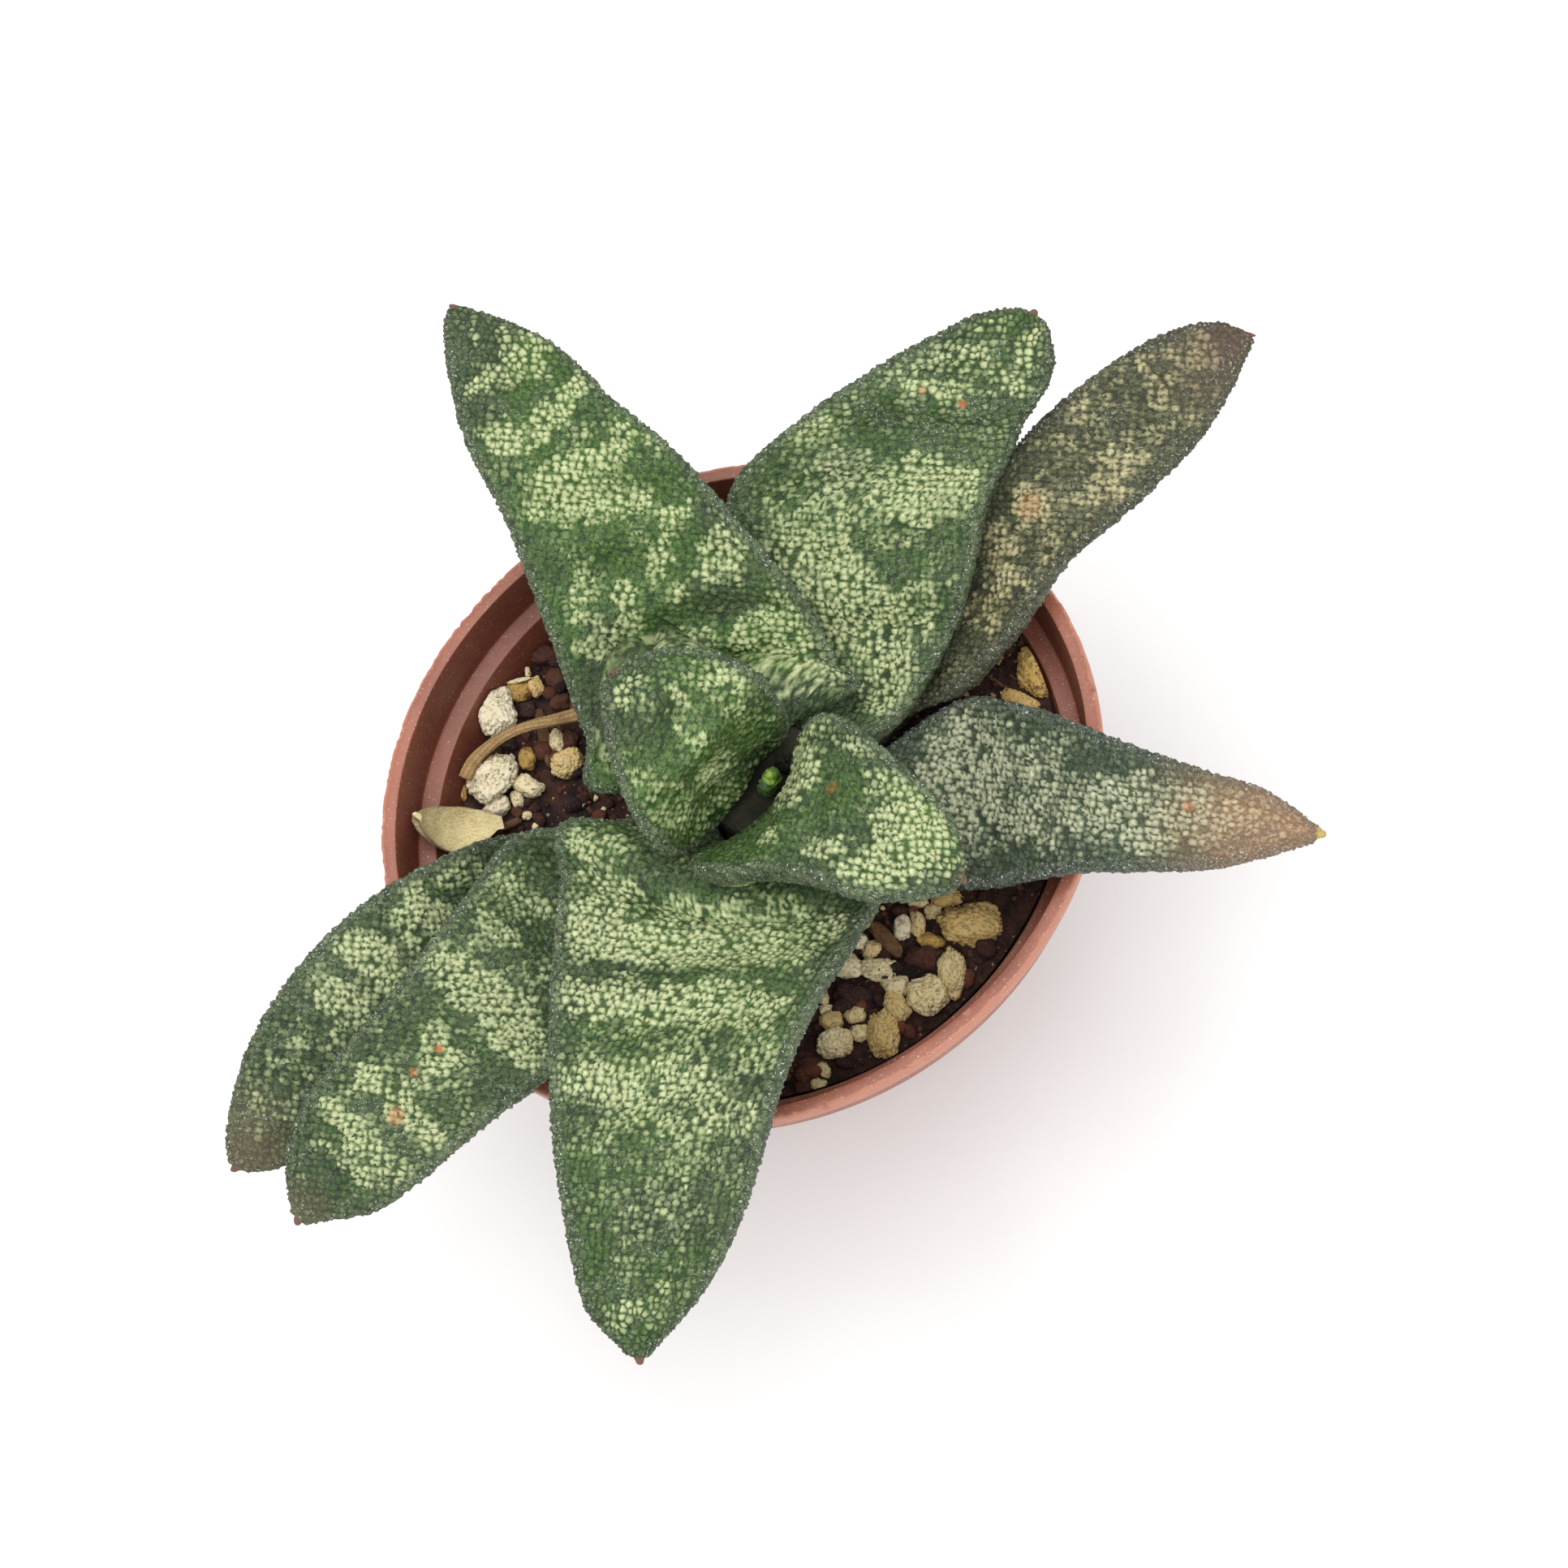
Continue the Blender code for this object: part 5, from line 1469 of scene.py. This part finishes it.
def crumbFinish():
    clod = Finish("soil_crumbs", 0.95)
    tone = clod.attribute("tone")
    grain = clod.noise(0.4, 3.0, 0.7)
    colour = clod.blend((tone * 2).clamped(), rgb(30, 20, 25), rgb(62, 32, 26))
    colour = clod.blend((tone * 2 - 1).clamped(), colour, rgb(118, 66, 46))
    colour = clod.blend(grain.step(0.5, 0.75) * 0.5, colour, rgb(140, 96, 70))
    clod.colour(colour)
    clod.relief(grain, 0.3, 1.0)
    return clod


def makeCrumbs():
    rng = random.Random(soil["seed"])
    bm = bmesh.new()
    looks = []
    smallest, spread = soil["crumbSize"]
    for _ in range(soil["crumbs"]):
        size = smallest + spread * rng.random() ** 2.4
        spot = spotInPot(rng, size, 0.05, 0.6)
        if nearStem(spot, size):
            continue
        place = (spot.x, spot.y, ground(spot.x, spot.y) + crumble(spot.x, spot.y) + 0.2 * size)
        shape = (size, size * rng.uniform(0.5, 0.95))
        addStone(bm, looks, place, shape, rng.uniform(0, 180), rng.random(), 2, rng)
    heapPiece(bm, looks, "soil_crumbs", crumbFinish())
    print("crumbs made")


dryLeaf = {
    "foot": None,
    "edge": 0.4,
    "stations": [
        ((-31.8, -1.8, 60.6), (-31.4, -0.6, 60.6), 0.2, 0.7, 0),
        ((-34.4, -4.4, 61.0), (-34.6, 0.4, 61.2), 1.5, 0.5, 0),
        ((-37.6, -5.6, 63.0), (-37.6, 0.3, 63.4), 2.1, 0.5, 0),
        ((-39.6, -4.6, 65.8), (-40.0, -0.6, 66.2), 1.4, 0.5, 0),
        ((-41.4, -2.0, 68.4), (-41.4, -2.0, 68.4), 0.0, 0.6, 0),
    ],
    "keel": 0.0,
    "ripple": (0.0, 8.0),
    "rings": 70,
    "turns": 50,
}
stalk = {
    "points": [
        (-36.8, 4.6, 60.6),
        (-36.0, 6.4, 60.8),
        (-33.2, 9.2, 61.0),
        (-28.8, 11.2, 61.2),
        (-25.2, 11.9, 61.6),
        (-21.5, 12.6, 62.0),
    ],
    "halfWidths": [1.0, 0.95, 0.75, 0.7, 0.8, 1.0],
    "halfHeight": 0.55,
    "rings": 160,
    "sides": 40,
}


def dryFinish(name, light, dark, stain, streak):
    dry = Finish(name, 0.75)
    streaks = dry.noise(0.6, 3.0, 0.6, streak)
    stains = dry.noise(3.0, 3.0)
    ridge = dry.attribute("ridge")
    colour = dry.blend(streaks.step(0.35, 0.7), light, dark)
    colour = dry.blend(stains.step(0.5, 0.72) * 0.6, colour, stain)
    colour = dry.blend((1 - ridge) * 0.75, colour, rgb(104, 74, 42))
    colour = dry.blend(dry.noise(0.4, 1.0).step(0.68, 0.74) * 0.6, colour, rgb(92, 62, 40))
    dry.colour(colour)
    dry.relief(streaks, 0.2, 1.0)
    return dry


def makeDryLeaf():
    sections = leafFrames(dryLeaf, dryLeaf["rings"])
    turns = turnsAround(dryLeaf["turns"], dryLeaf["turns"])
    points = leafPoints(dryLeaf, sections, turns)
    ripples = softNoise(points / 1.6, 5) - 0.5
    lift = 0.3 * ripples * fade(sections["half"] - 0.9)[:, None]
    points = points + outwards(points) * lift[..., None]
    margin = np.abs(np.cos(turns))[None, :] + 0 * ripples
    ridge = 1 - fade((margin - 0.93) / 0.05)
    points = np.concatenate([np.broadcast_to(sections["middle"][0], (1, len(turns), 3)), points])
    ridge = np.concatenate([ridge[:1], ridge])
    points[-1] = points[-1].mean(axis=0)
    points[:, -1] = points[:, 0]
    mesh = rolled("dry_leaf_fine", points, {"ridge": ridge})
    finish = dryFinish(
        "papery_leaf", rgb(230, 218, 172), rgb(206, 184, 126), rgb(196, 152, 88), (1.0, 4.0, 1.0)
    )
    pieceFrom(mesh, "curled_dry_leaf", finish, "dry_leaf", "dry_leaf")
    print("dry leaf made")


def makeStalk():
    # a flattened, ridged straw: rings of an oval section along the smooth path
    rows = np.array(
        [(*place, 0, 0, 0, half) for place, half in zip(stalk["points"], stalk["halfWidths"])]
    )
    rows[:, 3:6] = rows[:, 0:3]
    path = readRows(rows, np.linspace(0, 1, stalk["rings"]))
    middle = path[:, None, 0:3]
    forward = unit(np.gradient(path[:, 0:3], axis=0))
    side = unit(np.cross(forward, (0, 0, 1)))
    up = np.cross(side, forward)
    turns = np.linspace(0, math.tau, stalk["sides"] + 1)[None, :]
    ridge = 0.5 + 0.5 * np.cos(7 * turns + 2.5 * np.sin(np.linspace(0, 9, stalk["rings"]))[:, None])
    fray = 1 + 0.1 * ridge - 0.1
    across = (path[:, 6:7] * np.cos(turns) * fray)[..., None]
    height = (stalk["halfHeight"] * np.sin(turns) * fray)[..., None]
    points = middle + side[:, None, :] * across + up[:, None, :] * height
    points = points + 0.25 * (softNoise(points / 1.3, 9) - 0.5)[..., None] * up[:, None, :]
    points[0] = points[0].mean(axis=0)
    points[-1] = points[-1].mean(axis=0)
    points[:, -1] = points[:, 0]
    mesh = rolled("stalk", points, {"ridge": 0.35 + 0.65 * ridge})
    finish = dryFinish("straw", rgb(188, 156, 104), rgb(158, 126, 80), rgb(126, 90, 54), (2.0, 2.0, 2.0))
    pieceFrom(mesh, "dry_stalk_fine", finish, "dry_stalk", "dry_stalk")
    print("stalk made")


def stemFinish():
    fibre = Finish("stem_fibre", 0.8)
    rings = fibre.noise(1.4, 3.0, 0.6, (0.4, 0.4, 2.2))
    crumbs = fibre.noise(0.6, 4.0, 0.7)
    colour = fibre.blend(rings.step(0.35, 0.65), rgb(20, 24, 16), rgb(44, 44, 26))
    colour = fibre.blend(crumbs.step(0.5, 0.7) * 0.6, colour, rgb(74, 58, 44))
    fibre.colour(colour)
    fibre.relief(rings + crumbs, 0.4, 1.0)
    return fibre


def makeStem():
    # the stem carries the rings of old leaf bases
    bm = bmesh.new()
    bmesh.ops.create_cone(
        bm, cap_ends=True, cap_tris=True, segments=72, radius1=1, radius2=1, depth=1
    )
    upright = [edge for edge in bm.edges if abs(edge.verts[0].co.z - edge.verts[1].co.z) > 0.5]
    bmesh.ops.subdivide_edges(bm, edges=upright, cuts=stem["levels"] - 1, use_grid_fill=True)
    height = stem["top"] - stem["bottom"]
    for vert in bm.verts:
        share = vert.co.z + 0.5
        z = stem["bottom"] + height * share
        turn = math.atan2(vert.co.y, vert.co.x)
        scar = stem["scars"] * abs(math.sin(z * 0.9 + 0.5 * math.sin(2 * turn)))
        rough = 0.25 * noise.noise(Vector((3 * math.cos(turn), 3 * math.sin(turn), z * 0.6)))
        radius = stem["radius"] - stem["scars"] + scar * 0.8 + rough * 0.6
        radius = min(stem["radius"], radius) if vert.co.xy.length > 0.5 else 0.0
        vert.co = (
            stem["axis"][0] + radius * math.cos(turn),
            stem["axis"][1] + radius * math.sin(turn),
            z,
        )
    addWitheredBulge(bm)
    bmesh.ops.recalc_face_normals(bm, faces=bm.faces)
    pieceFrom(meshFrom(bm, "stem_body"), "ringed_stem", stemFinish(), "stem", "stem")
    print("stem made")


def addWitheredBulge(bm):
    # the withered remains of old leaves in the crown
    made = bmesh.ops.create_icosphere(bm, subdivisions=5, radius=0.5)["verts"]
    for vert in made:
        way = vert.co.normalized()
        rough = abs(noise.noise(way * 3.5)) * 0.5 + 0.25 * abs(noise.noise(way * 9))
        vert.co = way * 0.5 * (1 - min(0.3, rough))
    bmesh.ops.scale(bm, vec=stem["bulgeSize"], verts=made)
    bmesh.ops.translate(bm, vec=(*stem["bulge"], stem["top"]), verts=made)


view = {
    "target": (5.76, 0.40, 70.0),
    "distance": 520.0,
    "elevation": 72.0,
    "azimuth": 29.2,
    "roll": -29.2,
    "lens": 96.95,
    "sensor": 36.0,
}


def makeFloor():
    bm = bmesh.new()
    bmesh.ops.create_grid(bm, x_segments=8, y_segments=8, size=1500)
    bmesh.ops.translate(bm, vec=(0, 0, -0.05), verts=bm.verts)
    paper = Finish("pale_floor", 0.8)
    shade = paper.noise(60.0, 2.0).step(0.3, 0.7)
    paper.colour(paper.blend(shade, rgb(240, 240, 240), rgb(244, 244, 244)))
    mesh = meshFrom(bm, "floor")
    mesh.materials.append(paper.material)
    floor = bpy.data.objects.new("floor", mesh)
    bpy.context.scene.collection.objects.link(floor)


studio = {
    "sky": 0.68,
    "target": (0, 0, 70),
    "lamps": {"key": ((-100, 60, 980), 800, 6.5), "fill": ((420, -420, 760), 900, 3.5)},
}


def areaLight(name, place, size, power):
    lamp = bpy.data.lights.new(name, "AREA")
    lamp.shape = "DISK"
    lamp.size = size * mm
    lamp.energy = power
    holder = bpy.data.objects.new(name, lamp)
    holder.location = Vector(place) * mm
    away = Vector(place) - Vector(studio["target"])
    holder.rotation_euler = away.to_track_quat("Z", "Y").to_euler()
    bpy.context.scene.collection.objects.link(holder)


def makeLight():
    world = bpy.data.worlds.new("studio")
    world.use_nodes = True
    sky = world.node_tree.nodes["Background"]
    sky.inputs["Color"].default_value = (1.0, 1.0, 1.0, 1)
    sky.inputs["Strength"].default_value = studio["sky"]
    bpy.context.scene.world = world
    bpy.context.scene.view_settings.view_transform = "Standard"
    for name, (place, size, power) in studio["lamps"].items():
        areaLight(name, place, size, power)


def makeCamera():
    turn = math.radians(view["azimuth"])
    lift = math.radians(view["elevation"])
    back = Vector(
        (math.cos(lift) * math.sin(turn), -math.cos(lift) * math.cos(turn), math.sin(lift))
    )
    lens = bpy.data.cameras.new("camera")
    lens.lens = view["lens"]
    lens.sensor_width = view["sensor"]
    lens.clip_start = 0.01
    camera = bpy.data.objects.new("camera", lens)
    camera.location = (Vector(view["target"]) + back * view["distance"]) * mm
    facing = back.to_track_quat("Z", "Y").to_matrix()
    rolled = facing @ Matrix.Rotation(math.radians(view["roll"]), 3, "Z")
    camera.rotation_euler = rolled.to_euler()
    bpy.context.scene.collection.objects.link(camera)
    bpy.context.scene.camera = camera


makeFloor()
makeLight()
makeCamera()
makePot()
makeSoil()
makeStones()
makeCrumbs()
makeStem()
makeDryLeaf()
makeStalk()
makeLeaves()
